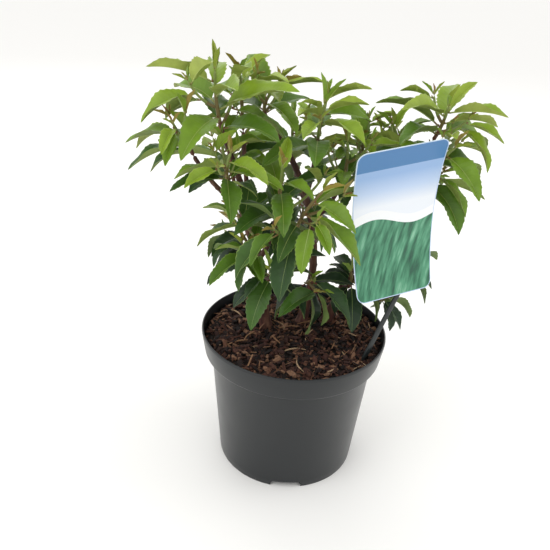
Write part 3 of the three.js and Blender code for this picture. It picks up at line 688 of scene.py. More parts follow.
# %% The masses of foliage
MASS_FIELDS = ("name", "stem", "at", "heart", "tip", "leaves", "longest", "turn", "sag", "seed")
MASS_ROWS = [
    ("top_left", "left", 1, None, (-82, -18, 402), 9, 76, 300, 0, 3),
    ("top_centre", "centre", 1, None, (-30, 18, 386), 8, 64, 300, 0, 5),
    ("top_right", "right", 1, None, (118, 0, 380), 8, 68, 240, 0, 7),
    ("upper_left", "left", 0.58, (-60, 24, 342), (-64, 14, 396), 9, 56, 180, 0, 11),
    ("upper_middle", "centre", 0.63, (7, 0, 332), (11, -6, 378), 8, 66, 180, 0, 16),
    ("outer_left", "left", 0.68, (-99, -25, 330), (-104, -35, 368), 8, 68, 60, 0, 17),
    ("upper_right", "right", 0.42, (55, 40, 312), (50, 24, 344), 7, 60, 180, 0, 31),
    ("right_shoulder", "right", 0.7, (88, 36, 322), (78, 34, 354), 6, 58, 0, 0, 23),
    ("front_left", "left", 0.75, (-66, -32, 306), (-64, -56, 344), 7, 60, 0, 8, 29),
    ("front_centre", "left", 0.42, (-28, -18, 258), (-22, -55, 338), 9, 62, 300, 5, 31),
    ("front_middle", "centre", 0.42, (-4, -32, 264), (14, -68, 322), 8, 76, 120, 5, 37),
    ("mid_right", "centre", 0.52, (32, 2, 300), (34, -6, 346), 8, 62, 120, 5, 59),
    ("outer_right", "right", 0.84, (112, 0, 326), (126, -14, 348), 6, 68, 300, 5, 43),
    ("side_right", "right", 0.6, (108, 26, 290), (126, 6, 320), 7, 66, 0, 4, 47),
    ("low_right", "right", 0.36, (80, 10, 212), (98, 2, 236), 7, 60, 300, 15, 55),
    ("side_left", "left", 0.6, (-42, -27, 240), (-54, -44, 260), 7, 54, 60, 4, 59),
    ("mid_left", "left", 0.68, (-51, -28, 272), (-60, -43, 289), 6, 60, 240, 6, 73),
    ("low_left", "left", 0.33, (-26, -20, 212), (-28, -36, 230), 7, 58, 60, 20, 61),
    ("low_front", "centre", 0.24, (10, -6, 204), (12, -34, 222), 8, 66, 60, 28, 67),
    ("low_front_right", "right", 0.24, (52, 4, 198), (50, -12, 222), 7, 58, 60, 28, 71),
    ("low_side", "right", 0.29, (77, -4, 190), (89, -12, 204), 5, 46, 0, 36, 41),
    ("back_left", "left", 0.44, (-68, 50, 278), (-80, 66, 326), 11, 66, 240, 5, 79),
    ("back_centre", "centre", 0.56, (-8, 66, 292), (-14, 84, 346), 11, 66, 90, 5, 81),
    ("back_right", "right", 0.53, (74, 66, 278), (86, 86, 328), 11, 66, 50, 5, 83),
    ("low_back", "centre", 0.3, (6, 62, 218), (4, 92, 248), 9, 62, 90, 20, 113),
    ("low_back_left", "left", 0.24, (-48, 36, 210), (-66, 50, 236), 9, 58, 300, 18, 97),
]
masses = [SimpleNamespace(**dict(zip(MASS_FIELDS, row))) for row in MASS_ROWS]

boughs = {}
for mass in masses:
    limb = stems[mass.stem]
    if mass.at < 1:
        start = point_on(limb.curve, mass.at)
        end = np.array(mass.heart, float)
        bend = start + (end - start) * BOUGH_BEND
        bend[2] = start[2] + (end[2] - start[2]) * BOUGH_RISE
        thick = BOUGH_SHARE * float(radius_on(limb, mass.at))
        limb = boughs[mass.name] = new_limb([start, bend, end], thick, thick * BOUGH_TAPER)
    mass.slope = slope_on(limb.curve, 1.0)
    mass.start = point_on(limb.curve, 1.0) + mass.slope * GAP
print(len(stems), "stems and", len(boughs), "boughs")

# %% Cover the limbs in bark
SPIRAL_TURN = 137.5
NODE_STEP = 13
NODE_SWELL = 0.55
NODE_RING = 0.3
NODE_REACH = 1.6
SCAR_DROP = 0.6
SCAR_REACH = 1.3
SCAR_NARROW = 3
SCAR_SHIFT = 40
FLUTES = 3
FLUTE_DEPTH = 1.1
BOUGH_SWELL = 0.9
BOUGH_SWELL_REACH = 6
CRACK_DEPTH = 0.32
CRACK_GRAIN = np.array([0.9, 0.9, 0.16])
CRACK_SHIFT = 7.3
STEM_SUNK = -0.01
STEM_SIDES = 20
STEM_RINGS = 96
BOUGH_SIDES = 14
BOUGH_RINGS = 36


def tube_pattern(sides, rings):
    """A unit tube of rings along Z from -1 to 1, with closed ends."""
    bm = new_grid(sides, rings)
    for vert in bm.verts:
        around = math.pi * (vert.co.x + 1)
        radius = 0 if 1 - abs(vert.co.y) < SAME_PLACE else 1
        vert.co = (radius * math.cos(around), radius * math.sin(around), vert.co.y)
    bmesh.ops.remove_doubles(bm, verts=bm.verts, dist=SAME_PLACE)
    bmesh.ops.recalc_face_normals(bm, faces=bm.faces)
    return pattern_from(bm)


def tube_places(pattern):
    """For each corner of a tube: how far along it is, how far round, and 0 at the closed ends."""
    x, y, z = pattern.corners.T
    return (z + 1) / 2, np.arctan2(y, x), np.hypot(x, y)


def bend_tube(limb, t, around, radius):
    first, second = across_of(slope_on(limb.curve, t))
    out = first * along(np.cos(around)) + second * along(np.sin(around))
    return point_on(limb.curve, t) + out * along(radius)


def scars_on(limb, t, around, seed):
    """Swellings where leaves once stood, each more than a third of a turn round from the one below."""
    length = span_of(limb)
    swell = np.zeros_like(t)
    for i in range(1, int(length / NODE_STEP)):
        far = (t - i * NODE_STEP / length) * length
        facing = np.cos(around - math.radians(SPIRAL_TURN * i + SCAR_SHIFT * seed))
        ring = NODE_RING * np.exp(-((far / NODE_REACH) ** 2))
        scar = np.exp(-(((far + SCAR_DROP) / SCAR_REACH) ** 2)) * np.maximum(0, facing) ** SCAR_NARROW
        swell += ring + scar
    return NODE_SWELL * swell


def cracks_on(points, seed):
    """Fine long ridges, from noise that is stretched along the limb."""
    stretched = points * CRACK_GRAIN + seed * CRACK_SHIFT
    return np.array([noise.noise(Vector(point)) for point in stretched])


def bark_points(limb, pattern, seed):
    """A limb's skin. A stem starts just under the compost, fluted, and a bough swells where it starts."""
    share, around, open_end = tube_places(pattern)
    from_t = STEM_SUNK if limb.flare else 0.0
    t = from_t + (1 - from_t) * share
    radius = radius_on(limb, t) + scars_on(limb, t, around, seed)
    if limb.flare:
        height = np.maximum(point_on(limb.curve, t)[:, 2] - limb.curve[0][2], 0)
        radius += FLUTE_DEPTH * np.exp(-height / FLARE_HEIGHT) * np.cos(FLUTES * around + seed)
    else:
        radius += BOUGH_SWELL * np.exp(-((t * span_of(limb) / BOUGH_SWELL_REACH) ** 2))
    plain = bend_tube(limb, t, around, radius)
    return bend_tube(limb, t, around, (radius + CRACK_DEPTH * cracks_on(plain, seed)) * open_end)


def bark_of_limbs():
    tones = [paint(50, 31, 27), paint(86, 52, 43), paint(118, 86, 68)]
    finish = new_finish("laurel_bark", paint(98, 62, 48), roughness=0.62, specular=0.4)
    fine = grain_of(finish, scale=260, detail=6.0, stretch=(1, 1, 0.25))
    colour_by(finish, fine, *tones)
    bump(finish, fine, depth=0.0005, strength=0.7)
    return finish


def make_limbs():
    bark = bark_of_limbs()
    tubes = {"stem": tube_pattern(STEM_SIDES, STEM_RINGS), "bough": tube_pattern(BOUGH_SIDES, BOUGH_RINGS)}
    rows = [("stem", name, limb) for name, limb in stems.items()]
    rows += [("bough", name, limb) for name, limb in boughs.items()]
    for seed, (kind, name, limb) in enumerate(rows):
        heap = Heap()
        heap.add(tubes[kind], bark_points(limb, tubes[kind], seed), [bark])
        belongs(heap.piece(f"bark_{kind}_{name}"), "bark", f"{kind}_{name}")
    print(len(rows), "limbs in bark")


make_limbs()

# %% [markdown]
# ## How the leaves grow
#
# Laurel leaves leave the shoot one by one, each 137.5 degrees round from the last. Old leaves stand well out
# and hang, young ones point up and are folded along the midrib. A leaf is a formula: a stalk, then a blade
# whose pitch falls steadily to its tip, so it bends in a round arc. A leaf or twig is kept only where it
# keeps its distance from what is already there. Only the small leaves at the tips are set without that test.

# %% A leaf as a formula
PETIOLE = 0.12
LEAF_WIDTH = 0.41
BLADE_FULLNESS = 2.946
FOOT_POWER = 0.65
TIP_POWER = 0.95


def leaf_frame(leaf, t):
    """Middle, side direction, upward direction and half width of a leaf at shares t of its length."""
    blade = 1 - PETIOLE
    q = np.maximum(0, (t - PETIOLE) / blade)
    stalk = np.minimum(t, PETIOLE)
    pitch = leaf.pitch - leaf.droop * q
    out = stalk * math.cos(leaf.pitch) + blade * (math.sin(leaf.pitch) - np.sin(pitch)) / leaf.droop
    rise = stalk * math.sin(leaf.pitch) + blade * (np.cos(pitch) - math.cos(leaf.pitch)) / leaf.droop
    ahead = np.array([math.cos(leaf.heading), math.sin(leaf.heading), 0])
    vertical = np.array([0, 0, 1])
    centre = leaf.root + (along(out) * ahead + along(rise) * vertical) * leaf.length
    level = np.array([-math.sin(leaf.heading), math.cos(leaf.heading), 0])
    above = along(np.cos(pitch)) * vertical - along(np.sin(pitch)) * ahead
    side = level * math.cos(leaf.roll) + above * math.sin(leaf.roll)
    up = above * math.cos(leaf.roll) - level * math.sin(leaf.roll)
    widest = leaf.width * leaf.length * 0.5 * BLADE_FULLNESS
    return centre, side, up, widest * q**FOOT_POWER * np.maximum(0, 1 - q) ** TIP_POWER


def leaf_points(leaf, t, side):
    centre, across, up, half = leaf_frame(leaf, t)
    spread = along(side * half * math.cos(leaf.fold))
    return centre + across * spread + up * along(np.abs(side) * half * math.sin(leaf.fold))


# %% What is already there
LEAF_CLEARANCE = 4.5
LIMB_CLEARANCE = 2.4
CARD_CLEARANCE = 7
STAKE_CLEARANCE = 6
SOIL_CLEARANCE = 6
RIM_CLEARANCE = 16
RIM_ZONE = RIM_RADIUS - 11.5
ROOT_ZONE = 0.2
REACH = 1.05
SAMPLES_ALONG = 18
SAMPLES_ACROSS = 7
LIMB_STEP = 3
BOX_MARGIN = 12
MOST_POINTS = 400000


class Room:
    """Points that are taken, each with the distance it keeps clear, its owner and how far out it lies."""

    def __init__(self):
        self.points = np.empty((MOST_POINTS, 3))
        self.facts = np.empty((MOST_POINTS, 3))
        self.count = 0

    def take(self, points, clear, owner, out=0.0):
        rows = slice(self.count, self.count + len(points))
        self.points[rows] = points
        self.facts[rows, 0] = clear
        self.facts[rows, 1] = owner
        self.facts[rows, 2] = out
        self.count += len(points)

    def take_limb(self, limb, owner):
        count = math.ceil(span_of(limb) / LIMB_STEP)
        t = np.arange(count + 1) / count
        self.take(point_on(limb.curve, t), radius_on(limb, t) + LIMB_CLEARANCE, owner)

    def is_free(self, points, out, owner, ease):
        taken = self.points[:self.count]
        low = points.min(0) - BOX_MARGIN
        high = points.max(0) + BOX_MARGIN
        near = np.flatnonzero(((taken >= low) & (taken <= high)).all(1))
        clear, owners, others_out = (self.facts[near, i] for i in range(3))
        gaps = np.linalg.norm(points[:, None] - taken[near][None], axis=2)
        own = (owners == owner) & (others_out < ROOT_ZONE) & (out < ROOT_ZONE)[:, None]
        return not ((gaps < clear * ease) & ~own).any()


room = Room()


def from_core(points, mass):
    """How far points are from the straight line between a mass's start and its end."""
    line = mass.end - mass.start
    share = np.clip((points - mass.start) @ line / (line @ line), 0, 1)
    return np.linalg.norm(points - mass.start - along(share) * line, axis=1)


def may_stay(points, out, mass, ease=1.0):
    over_rim = np.hypot(points[:, 0], points[:, 1]) > RIM_ZONE
    if (points[:, 2] < SOIL_LEVEL + np.where(over_rim, RIM_CLEARANCE, SOIL_CLEARANCE)).any():
        return False
    if (from_core(points, mass) > mass.reach).any():
        return False
    return room.is_free(points, out, mass.number, ease)


# %% [markdown]
# ## The label
#
# A plant label is a card of stiff printed plastic on a dark stake. This one is bowed, its middle behind its
# ends. Its place is a formula too, so that leaves, card and stake all keep clear of each other.

# %% The card's own frame
CARD_CENTRE = np.array([83, -45, 284])
CARD_WIDTH = 80
CARD_HEIGHT = 148
CARD_TAPER = 0.05
CARD_CORNER = 8
CARD_THICK = 0.8
CARD_BOW = 11.4
CARD_YAW, CARD_TILT, CARD_ROLL = (math.radians(angle) for angle in (21.5, -5, 8))
STAKE_FOOT = (66, -42.5)
STAKE_WIDTH = 5.8
STAKE_THICK = 2.2
STAKE_HEAD = (0.55, -0.7)
HEAD_WIDTH = 12
HEAD_HEIGHT = 24
HEAD_CORNERS = (0.3, 0.2)
BAR_THICK = 0.6
STAKE_SUNK = 4


def card_frame():
    level = np.array([math.cos(CARD_YAW), math.sin(CARD_YAW), 0])
    facing = np.array([math.sin(CARD_YAW), -math.cos(CARD_YAW), 0])
    vertical = np.array([0, 0, 1])
    rise = vertical * math.cos(CARD_TILT) - facing * math.sin(CARD_TILT)
    out = facing * math.cos(CARD_TILT) + vertical * math.sin(CARD_TILT)
    across = level * math.cos(CARD_ROLL) + rise * math.sin(CARD_ROLL)
    up = rise * math.cos(CARD_ROLL) - level * math.sin(CARD_ROLL)
    return across, up, out


def card_points(side, height, depth):
    """Points of the card: side and height from -1 to 1, depth in front of its middle layer."""
    across, up, out = card_frame()
    bow = np.asarray(depth) - CARD_BOW * (1 - np.asarray(height) ** 2)
    spread = np.asarray(side) * (CARD_WIDTH / 2) * (1 + CARD_TAPER * np.asarray(height))
    return CARD_CENTRE + along(spread) * across + along(height) * up * (CARD_HEIGHT / 2) + along(bow) * out


# %% Keep the limbs' and the label's room
WOOD = -1
LABEL = -2
for limb in [*stems.values(), *boughs.values()]:
    room.take_limb(limb, WOOD)
heights, sides = np.meshgrid(np.arange(-1, 1.05, 0.1), np.arange(-1, 1.1, 0.2), indexing="ij")
room.take(card_points(sides.ravel(), heights.ravel(), 0), CARD_CLEARANCE, LABEL)
stake_top = card_points(*STAKE_HEAD, 0)
stake_foot = np.array([*STAKE_FOOT, SOIL_LEVEL])
room.take(stake_foot + along(np.arange(0, 1.01, 0.05)) * (stake_top - stake_foot), STAKE_CLEARANCE, LABEL)

# %% Shoots, and the folded leaves at their tips
SHOOT_THICK = 1.9
SHOOT_THIN = 1.2
SHOOT_BEND = 0.45
SEED_STEP = 7919
DICE_FACTOR = 16807
DICE_RANGE = 2147483647
LEAF_DICE, FINER_DICE, TWIG_DICE, TUFT_DICE = 300, 500, 700, 900
TIP_LEAVES = 2
TIP_STEP_TURN = 170
TIP_ROOT = 0.94
TIP_LEAN = 12
TIP_DROOP = 10
TIP_SPREAD = 10
TIP_FOLD = 48
TIP_LENGTH = 20
TIP_LENGTH_SPREAD = 10
TIP_WIDTH = 0.22


def dice(seed):
    """A repeatable stream of numbers between 0 and 1."""
    state = seed * SEED_STEP

    def roll():
        nonlocal state
        state = state * DICE_FACTOR % DICE_RANGE
        return state / DICE_RANGE

    return roll


def samples_of(leaf):
    steps = np.repeat(np.arange(1, SAMPLES_ALONG + 1) / SAMPLES_ALONG, SAMPLES_ACROSS)
    sides = np.tile(2 * np.arange(SAMPLES_ACROSS) / (SAMPLES_ACROSS - 1) - 1, SAMPLES_ALONG)
    return leaf_points(leaf, steps, sides), steps


def leaf_aimed(shoot, s, lean, angle, **shape):
    """A leaf that leaves a shoot at share s of it, leaning off it by one angle, round it by the other."""
    slope, aside = aside_of(shoot.curve, s, angle)
    aim = slope * math.cos(lean) + aside * math.sin(lean)
    heading, pitch = math.atan2(aim[1], aim[0]), math.asin(aim[2]) - shape.pop("sag", 0)
    return SimpleNamespace(root=point_on(shoot.curve, s), heading=heading, pitch=pitch, **shape)


def tip_leaves(shoot, turn, roll):
    leaves = []
    for i in range(TIP_LEAVES):
        lean = math.radians(TIP_LEAN + TIP_SPREAD * roll())
        droop = math.radians(TIP_DROOP + TIP_SPREAD * roll())
        leaf = leaf_aimed(
            shoot, 1.0, lean, math.radians(turn + TIP_STEP_TURN * i), droop=droop, roll=0,
            fold=math.radians(TIP_FOLD), length=TIP_LENGTH + TIP_LENGTH_SPREAD * roll(), width=TIP_WIDTH,
            youth=1.0, kind="tip",
        )
        leaf.root = point_on(shoot.curve, TIP_ROOT)
        leaves.append(leaf)
    return leaves


for number, mass in enumerate(masses):
    mass.number = number
    mass.end = np.array(mass.tip, float)
    mass.span = np.linalg.norm(mass.end - mass.start)
    bend = mass.start + mass.slope * SHOOT_BEND * mass.span
    mass.shoot = new_limb([mass.start, bend, mass.end], SHOOT_THICK, SHOOT_THIN)
    mass.twigs = []
    mass.reach = mass.longest * REACH
    room.take_limb(mass.shoot, number)
    mass.leaves_grown = tip_leaves(mass.shoot, mass.turn, dice(mass.seed + 1))
    for leaf in mass.leaves_grown:
        points, out = samples_of(leaf)
        room.take(points, LEAF_CLEARANCE, number, out)

# %% Leaves along a shoot
TURN_SPREAD = 20
LEAN = 76
YOUNG_LEAN = -34
LEAN_SPREAD = 16
DROOP = 54
YOUNG_DROOP = -26
TWIST_SPREAD = 50
FOLD = 20
YOUNG_FOLD = 22
FOLD_SPREAD = 10
YOUNG_SAME = 0.76
YOUNG_SHORT = -1.3
LENGTH_FROM, LENGTH_SPREAD = 0.92, 0.16
DROOP_FROM, DROOP_SPREAD = 0.7, 0.6
TRIES = [(0, 1), (28, 1), (-28, 1), (55, 0.9), (-55, 0.9), (80, 0.8), (-80, 0.8)]
LAST_LEAF = 0.96


def leaf_on(shoot, s, turn, youth, longest, mass, roll, clear=LEAF_CLEARANCE, ease=1.0):
    """One leaf on a shoot. Where it has no room it turns aside and gets smaller, or is left out."""
    lean = math.radians(LEAN + YOUNG_LEAN * youth * youth + LEAN_SPREAD * (roll() - 0.5))
    by_youth = YOUNG_SAME + youth + YOUNG_SHORT * youth * youth
    length = longest * by_youth * (LENGTH_FROM + LENGTH_SPREAD * roll())
    droop = math.radians((DROOP + YOUNG_DROOP * youth) * (DROOP_FROM + DROOP_SPREAD * roll()))
    twist = math.radians(TWIST_SPREAD * (roll() - 0.5))
    fold = math.radians(FOLD + YOUNG_FOLD * youth + FOLD_SPREAD * roll())
    sag = math.radians(mass.sag * (1 - youth))
    for more, size in TRIES:
        leaf = leaf_aimed(
            shoot, s, lean, math.radians(turn + more), sag=sag, droop=droop, roll=twist, fold=fold,
            length=length * size, width=LEAF_WIDTH, youth=youth, kind="leaf",
        )
        points, out = samples_of(leaf)
        if may_stay(points, out, mass, ease):
            room.take(points, clear, mass.number, out)
            return leaf
    return None


def grow_leaves(mass, bearer, at_foot, gain, roll, **ways):
    """The leaves of one shoot or twig, from the oldest at its foot to the youngest."""
    for i in range(bearer.count):
        share = (i + 0.5) / bearer.count
        facing = bearer.turn + SPIRAL_TURN * i + TURN_SPREAD * (roll() - 0.5)
        s = bearer.start + (LAST_LEAF - bearer.start) * share
        leaf = leaf_on(bearer.shoot, s, facing, at_foot + gain * share, bearer.longest, mass, roll, **ways)
        if leaf:
            mass.leaves_grown.append(leaf)


# %% Side twigs, and each mass by the source's rule
SIDE_TWIGS = 2
SIDE_TWIG = SimpleNamespace(leaves=3, size=0.86, first=0.3, thick=1.5, thin=1.0, ease=1.0)
FIRST_TWIG = 0.2
NEXT_TWIG = 0.28
TWIG_PLACE_SPREAD = 0.1
TWIG_TURN = 70
TWIG_STEP_TURN = 160
TWIG_TURN_SPREAD = 40
TWIG_SHARE, NEXT_TWIG_LESS = 0.5, 0.12
TWIG_EXTRA = 12
BEND_ASIDE, BEND_ON = 0.45, 0.25
END_ASIDE, END_ON, END_RISE = 0.2, 0.4, 0.15
FIRST_LEAF = 0.12
YOUTH_AT_FOOT = 0.15
YOUTH_GAIN = 0.75
OLD_YOUTH_GAIN = 0.55
OLD_SAG = 14
TWIG_SAMPLES = np.arange(11) / 10


def side_twig(shoot, s, turn, long, thick, thin):
    """A twig that leaves its shoot at share s, swings out to its own side and then turns up."""
    slope, aside = aside_of(shoot.curve, s, turn)
    start = point_on(shoot.curve, s)
    bend = start + aside * long * BEND_ASIDE + slope * long * BEND_ON
    end = bend + slope * long * END_ON + aside * long * END_ASIDE + np.array([0, 0, long * END_RISE])
    return new_limb([start, bend, end], thick, thin)


def bearer_of(shoot, count, longest, turn, start):
    """What carries leaves: how many, how long, where the first one faces, and from which share on."""
    return SimpleNamespace(shoot=shoot, count=count, longest=longest, turn=turn, start=start)


def grow_twig(mass, kind, s, turn, long, facing, roll):
    """Grows one twig of a kind where it has room, and gives back what then carries leaves."""
    twig = side_twig(mass.shoot, s, math.radians(turn), long, kind.thick, kind.thin)
    if not may_stay(point_on(twig.curve, TWIG_SAMPLES), TWIG_SAMPLES, mass, kind.ease):
        return []
    room.take_limb(twig, mass.number)
    mass.twigs.append(twig)
    turn = (facing + 360 * roll()) % 360
    return [bearer_of(twig, kind.leaves, mass.longest * kind.size, turn, kind.first)]


def youth_of(mass, old_at_foot):
    """How young the leaf at a shoot's foot is, and how much younger they get towards its tip."""
    return (old_at_foot, OLD_YOUTH_GAIN) if mass.sag > OLD_SAG else (YOUTH_AT_FOOT, YOUTH_GAIN)


def grow_mass(mass):
    roll = dice(mass.seed)
    bearers = [bearer_of(mass.shoot, mass.leaves, mass.longest, mass.turn, FIRST_LEAF)]
    for j in range(SIDE_TWIGS):
        s = FIRST_TWIG + NEXT_TWIG * j + TWIG_PLACE_SPREAD * roll()
        away = mass.turn + TWIG_TURN + TWIG_STEP_TURN * j
        long = (TWIG_SHARE - NEXT_TWIG_LESS * j) * mass.span + TWIG_EXTRA
        bearers += grow_twig(mass, SIDE_TWIG, s, away + TWIG_TURN_SPREAD * roll(), long, away, roll)
    for bearer in bearers:
        grow_leaves(mass, bearer, *youth_of(mass, 0), roll)


for mass in masses:
    grow_mass(mass)
print("leaves by the source's rule:", sum(len(mass.leaves_grown) for mass in masses))

# %% [markdown]
# ## Finer twigs
#
# The solids stop at the twigs that a plain model can hold. The same rule now goes on inside the same reach:
# short twigs leave each shoot, with small leaves on them, and small leaves fill what room is left between
# the large ones. Each shoot and twig ends in a rolled spike, and each twig in an opening pair of leaves too.

# %% Carry the rule on
FINE_TWIGS = 2
FINE_TWIG = SimpleNamespace(leaves=3, size=0.68, first=0.25, thick=0.95, thin=0.6, ease=0.72)
FINE_CLEARANCE = 3.2
FIRST_FINE_TWIG = 0.08
FINE_TWIGS_SPAN = 0.8
FINE_PLACE_SPREAD = 0.6
FINE_TURN = 20
FINE_TURN_SPREAD = 50
FINE_SHARE, FINE_EXTRA, FINE_EXTRA_SPREAD = 0.3, 6, 8
FILL_LEAVES = 4
FILL_SIZE = 0.8
FILL_TURN = 65
FIRST_FILL_LEAF = 0.05
FINE_OLD_YOUTH = 0.1


def grow_finer(mass):
    roll = dice(mass.seed + FINER_DICE)
    filling = mass.longest * FILL_SIZE
    bearers = [bearer_of(mass.shoot, FILL_LEAVES, filling, mass.turn + FILL_TURN, FIRST_FILL_LEAF)]
    for j in range(FINE_TWIGS):
        s = FIRST_FINE_TWIG + FINE_TWIGS_SPAN * (j + FINE_PLACE_SPREAD * roll()) / FINE_TWIGS
        turn = mass.turn + FINE_TURN + SPIRAL_TURN * j + FINE_TURN_SPREAD * roll()
        long = FINE_SHARE * mass.span + FINE_EXTRA + FINE_EXTRA_SPREAD * roll()
        bearers += grow_twig(mass, FINE_TWIG, s, turn, long, turn, roll)
    for bearer in reversed(bearers):
        youth = youth_of(mass, FINE_OLD_YOUTH)
        grow_leaves(mass, bearer, *youth, roll, clear=FINE_CLEARANCE, ease=FINE_TWIG.ease)


# %% The youngest leaves
SPIKE = dict(droop=math.radians(12), roll=0, fold=math.radians(62), width=0.24, youth=1.0, kind="spike")
SPIKE_ROOT = 0.99
SPIKE_LEAN = 14
SPIKE_LENGTH = 9
PAIR = dict(droop=math.radians(16), roll=0, fold=math.radians(46), width=0.32, youth=1.0, kind="tip")
PAIR_ROOT = 0.98
PAIR_LEAN, PAIR_LEAN_SPREAD = 22, 20
PAIR_LENGTH = 13
YOUNGEST_FROM, YOUNGEST_SPREAD = 0.8, 0.6


def grow_tufts(mass):
    """A rolled spike at the end of each shoot and twig, and an opening pair on each twig."""
    roll = dice(mass.seed + TUFT_DICE)
    for shoot in [mass.shoot, *mass.twigs]:
        turn = 360 * roll()
        lean = math.radians(SPIKE_LEAN * roll())
        length = SPIKE_LENGTH * (YOUNGEST_FROM + YOUNGEST_SPREAD * roll())
        spike = leaf_aimed(shoot, SPIKE_ROOT, lean, math.radians(turn), length=length, **SPIKE)
        mass.leaves_grown.append(spike)
        for side in (0, TIP_STEP_TURN):
            lean = math.radians(PAIR_LEAN + PAIR_LEAN_SPREAD * roll())
            length = PAIR_LENGTH * (YOUNGEST_FROM + YOUNGEST_SPREAD * roll())
            if shoot is not mass.shoot:
                turned_off = math.radians(turn + side)
                opening = leaf_aimed(shoot, PAIR_ROOT, lean, turned_off, length=length, **PAIR)
                mass.leaves_grown.append(opening)


for mass in masses:
    grow_finer(mass)
for mass in masses:
    grow_tufts(mass)
print("leaves in all:", sum(len(mass.leaves_grown) for mass in masses), "room:", room.count)

# %% [markdown]
# ## Leaf finishes
#
# The top of a laurel leaf has a waxy shine, the underside is matt and paler, and the colour tells the age:
# yellow green while it opens, fresh green in its first summer, deep green when old. Each age is a finish of
# its own, dealt out leaf by leaf. Low leaves are dealt deeper greens as well, partly as painted shade. Side
# veins are pressed in by a bump that follows the blade.

# %% Mix the leaf finishes
TOP_GREENS = [
    (30, 53, 29), (40, 69, 28), (56, 89, 25), (80, 114, 27), (105, 137, 30), (126, 153, 36), (143, 164, 52),
]
UNDER_GREENS = [(106, 127, 68), (134, 153, 73), (157, 171, 82)]
RIB_GREENS = [(120, 141, 80), (148, 165, 88), (170, 183, 102)]
# Paler greens for the leaf's rim strip: a painted highlight where light catches the edge.
RIM_HIGHLIGHT_GREENS = [(78, 102, 54), (110, 136, 58), (150, 170, 76)]
STALK_TONES = [(112, 66, 52), (128, 104, 62), (140, 150, 78)]
OPENING_TONES = [(138, 152, 58), (144, 128, 60), (122, 150, 52)]
SPIKE_TONES = [(138, 104, 62), (142, 132, 62)]
VEINS = 10
VEIN_SLANT = 2.6
VEIN_SHARPNESS = 4.0


def across_and_along(finish):
    """The two sockets of a piece's own UV map."""
    place = add_node(finish, "ShaderNodeTexCoord")
    split = add_node(finish, "ShaderNodeSeparateXYZ")
    wire(finish, place.outputs["UV"], split.inputs["Vector"])
    return split.outputs["X"], split.outputs["Y"]


def vein_height(finish):
    """Grooves that leave the midrib and run forward to the edge, from the leaf's own coordinates."""
    u, v = across_and_along(finish)
    forward = reckon(finish, u, ("SUBTRACT", 0.5), ("ABSOLUTE",), ("MULTIPLY", VEIN_SLANT))
    row = reckon(finish, v, ("MULTIPLY", VEINS), ("SUBTRACT", forward))
    return reckon(finish, row, ("PINGPONG", 0.5), ("MULTIPLY", VEIN_SHARPNESS), ("MINIMUM", 1.0))


def leaf_finish(name, colour, roughness, depth):
    finish = new_finish(name, paint(*colour), roughness, specular=0.32)
    grain = grain_of(finish, scale=90, detail=3.0)
    colour_by(finish, grain, shade(colour, 0.86), shade(colour, 1.16))
    bump(finish, vein_height(finish), depth, strength=0.4)
    return finish


def soft_finish(name, colour, roughness=0.5):
    return grained(name, paint(*colour), roughness, 0.4, scale=700, detail=3.0, depth=0.0001, strength=0.4)


tops = row_of(leaf_finish, "leaf_top", TOP_GREENS, 0.42, 0.00025)
unders = row_of(leaf_finish, "leaf_under", UNDER_GREENS, 0.62, 0.0002)
openings = row_of(leaf_finish, "leaf_opening", OPENING_TONES, 0.42, 0.0002)
ribs = row_of(soft_finish, "leaf_rib", RIB_GREENS)
rim_highlights = row_of(soft_finish, "leaf_margin", RIM_HIGHLIGHT_GREENS)
stalks = row_of(soft_finish, "leaf_stalk", STALK_TONES)
spikes = row_of(soft_finish, "leaf_spike", SPIKE_TONES)
print("a leaf's top has", len(tops), "ages")

# %% [markdown]
# ## The leaves
#
# The pattern of a blade is two sheets that share their edge: a top with two strips and a thin pale margin on
# each side of the midrib, and a plainer underside a little below it. The pale margin is a painted highlight,
# the light that catches the leaf's edge. Every second corner of the edge is drawn in, which makes the fine
# teeth. The midrib is a thin tapering tube that starts as the leaf's stalk and sinks into the underside.

# %% Patterns for blades and ribs
BLADE_THICK = 0.45
MARGIN = 0.93
COLUMNS = (0, 0.5, MARGIN, 1)
TOP, UNDER, RIM = range(3)
TOOTH_DEPTH = 0.11
TOOTH_FORWARD = 0.012
WAVE = 0.034
WAVES = 1.6
WAVE_SHIFT = 1.9
BULGE = 0.1
RIB_FOOT = 0.35
RIB_PER_LENGTH = 0.009
RIB_TAPER = 0.82
RIB_END = 0.985
RIB_SUNK = 0.4
SINKS_WITHIN = 0.1
STALK_ROWS = PETIOLE * 1.1
LARGE, MIDDLE, SMALL = 22, 14, 8


def blade_pattern(stations):
    """Side along X and length along Y, both from -1 to 1; Z is 0 above and -1 beneath."""
    strips = len(COLUMNS) - 1
    bm = new_grid(2 * strips, stations)
    for vert in bm.verts:
        vert.co.x = math.copysign(COLUMNS[round(strips * abs(vert.co.x))], vert.co.x)
    for face in bm.faces:
        # The rim strip carries the painted highlight of the leaf's edge.
        face.material_index = RIM if abs(face.calc_center_median().x) > MARGIN else TOP
    below = new_grid(2, stations)
    bmesh.ops.reverse_faces(below, faces=below.faces)
    for vert in below.verts:
        vert.co.z = abs(vert.co.x) - 1
    for face in below.faces:
        face.material_index = UNDER
    sheet = bpy.data.meshes.new("underside")
    below.to_mesh(sheet)
    below.free()
    bm.from_mesh(sheet)
    bpy.data.meshes.remove(sheet)
    for end in (-1, 1):
        row = [vert for vert in bm.verts if abs(vert.co.y - end) < SAME_PLACE]
        bmesh.ops.pointmerge(bm, verts=row, merge_co=(0, end, 0))
    bmesh.ops.remove_doubles(bm, verts=bm.verts, dist=SAME_PLACE)
    pattern = pattern_from(bm)
    pattern.stations = stations
    return pattern


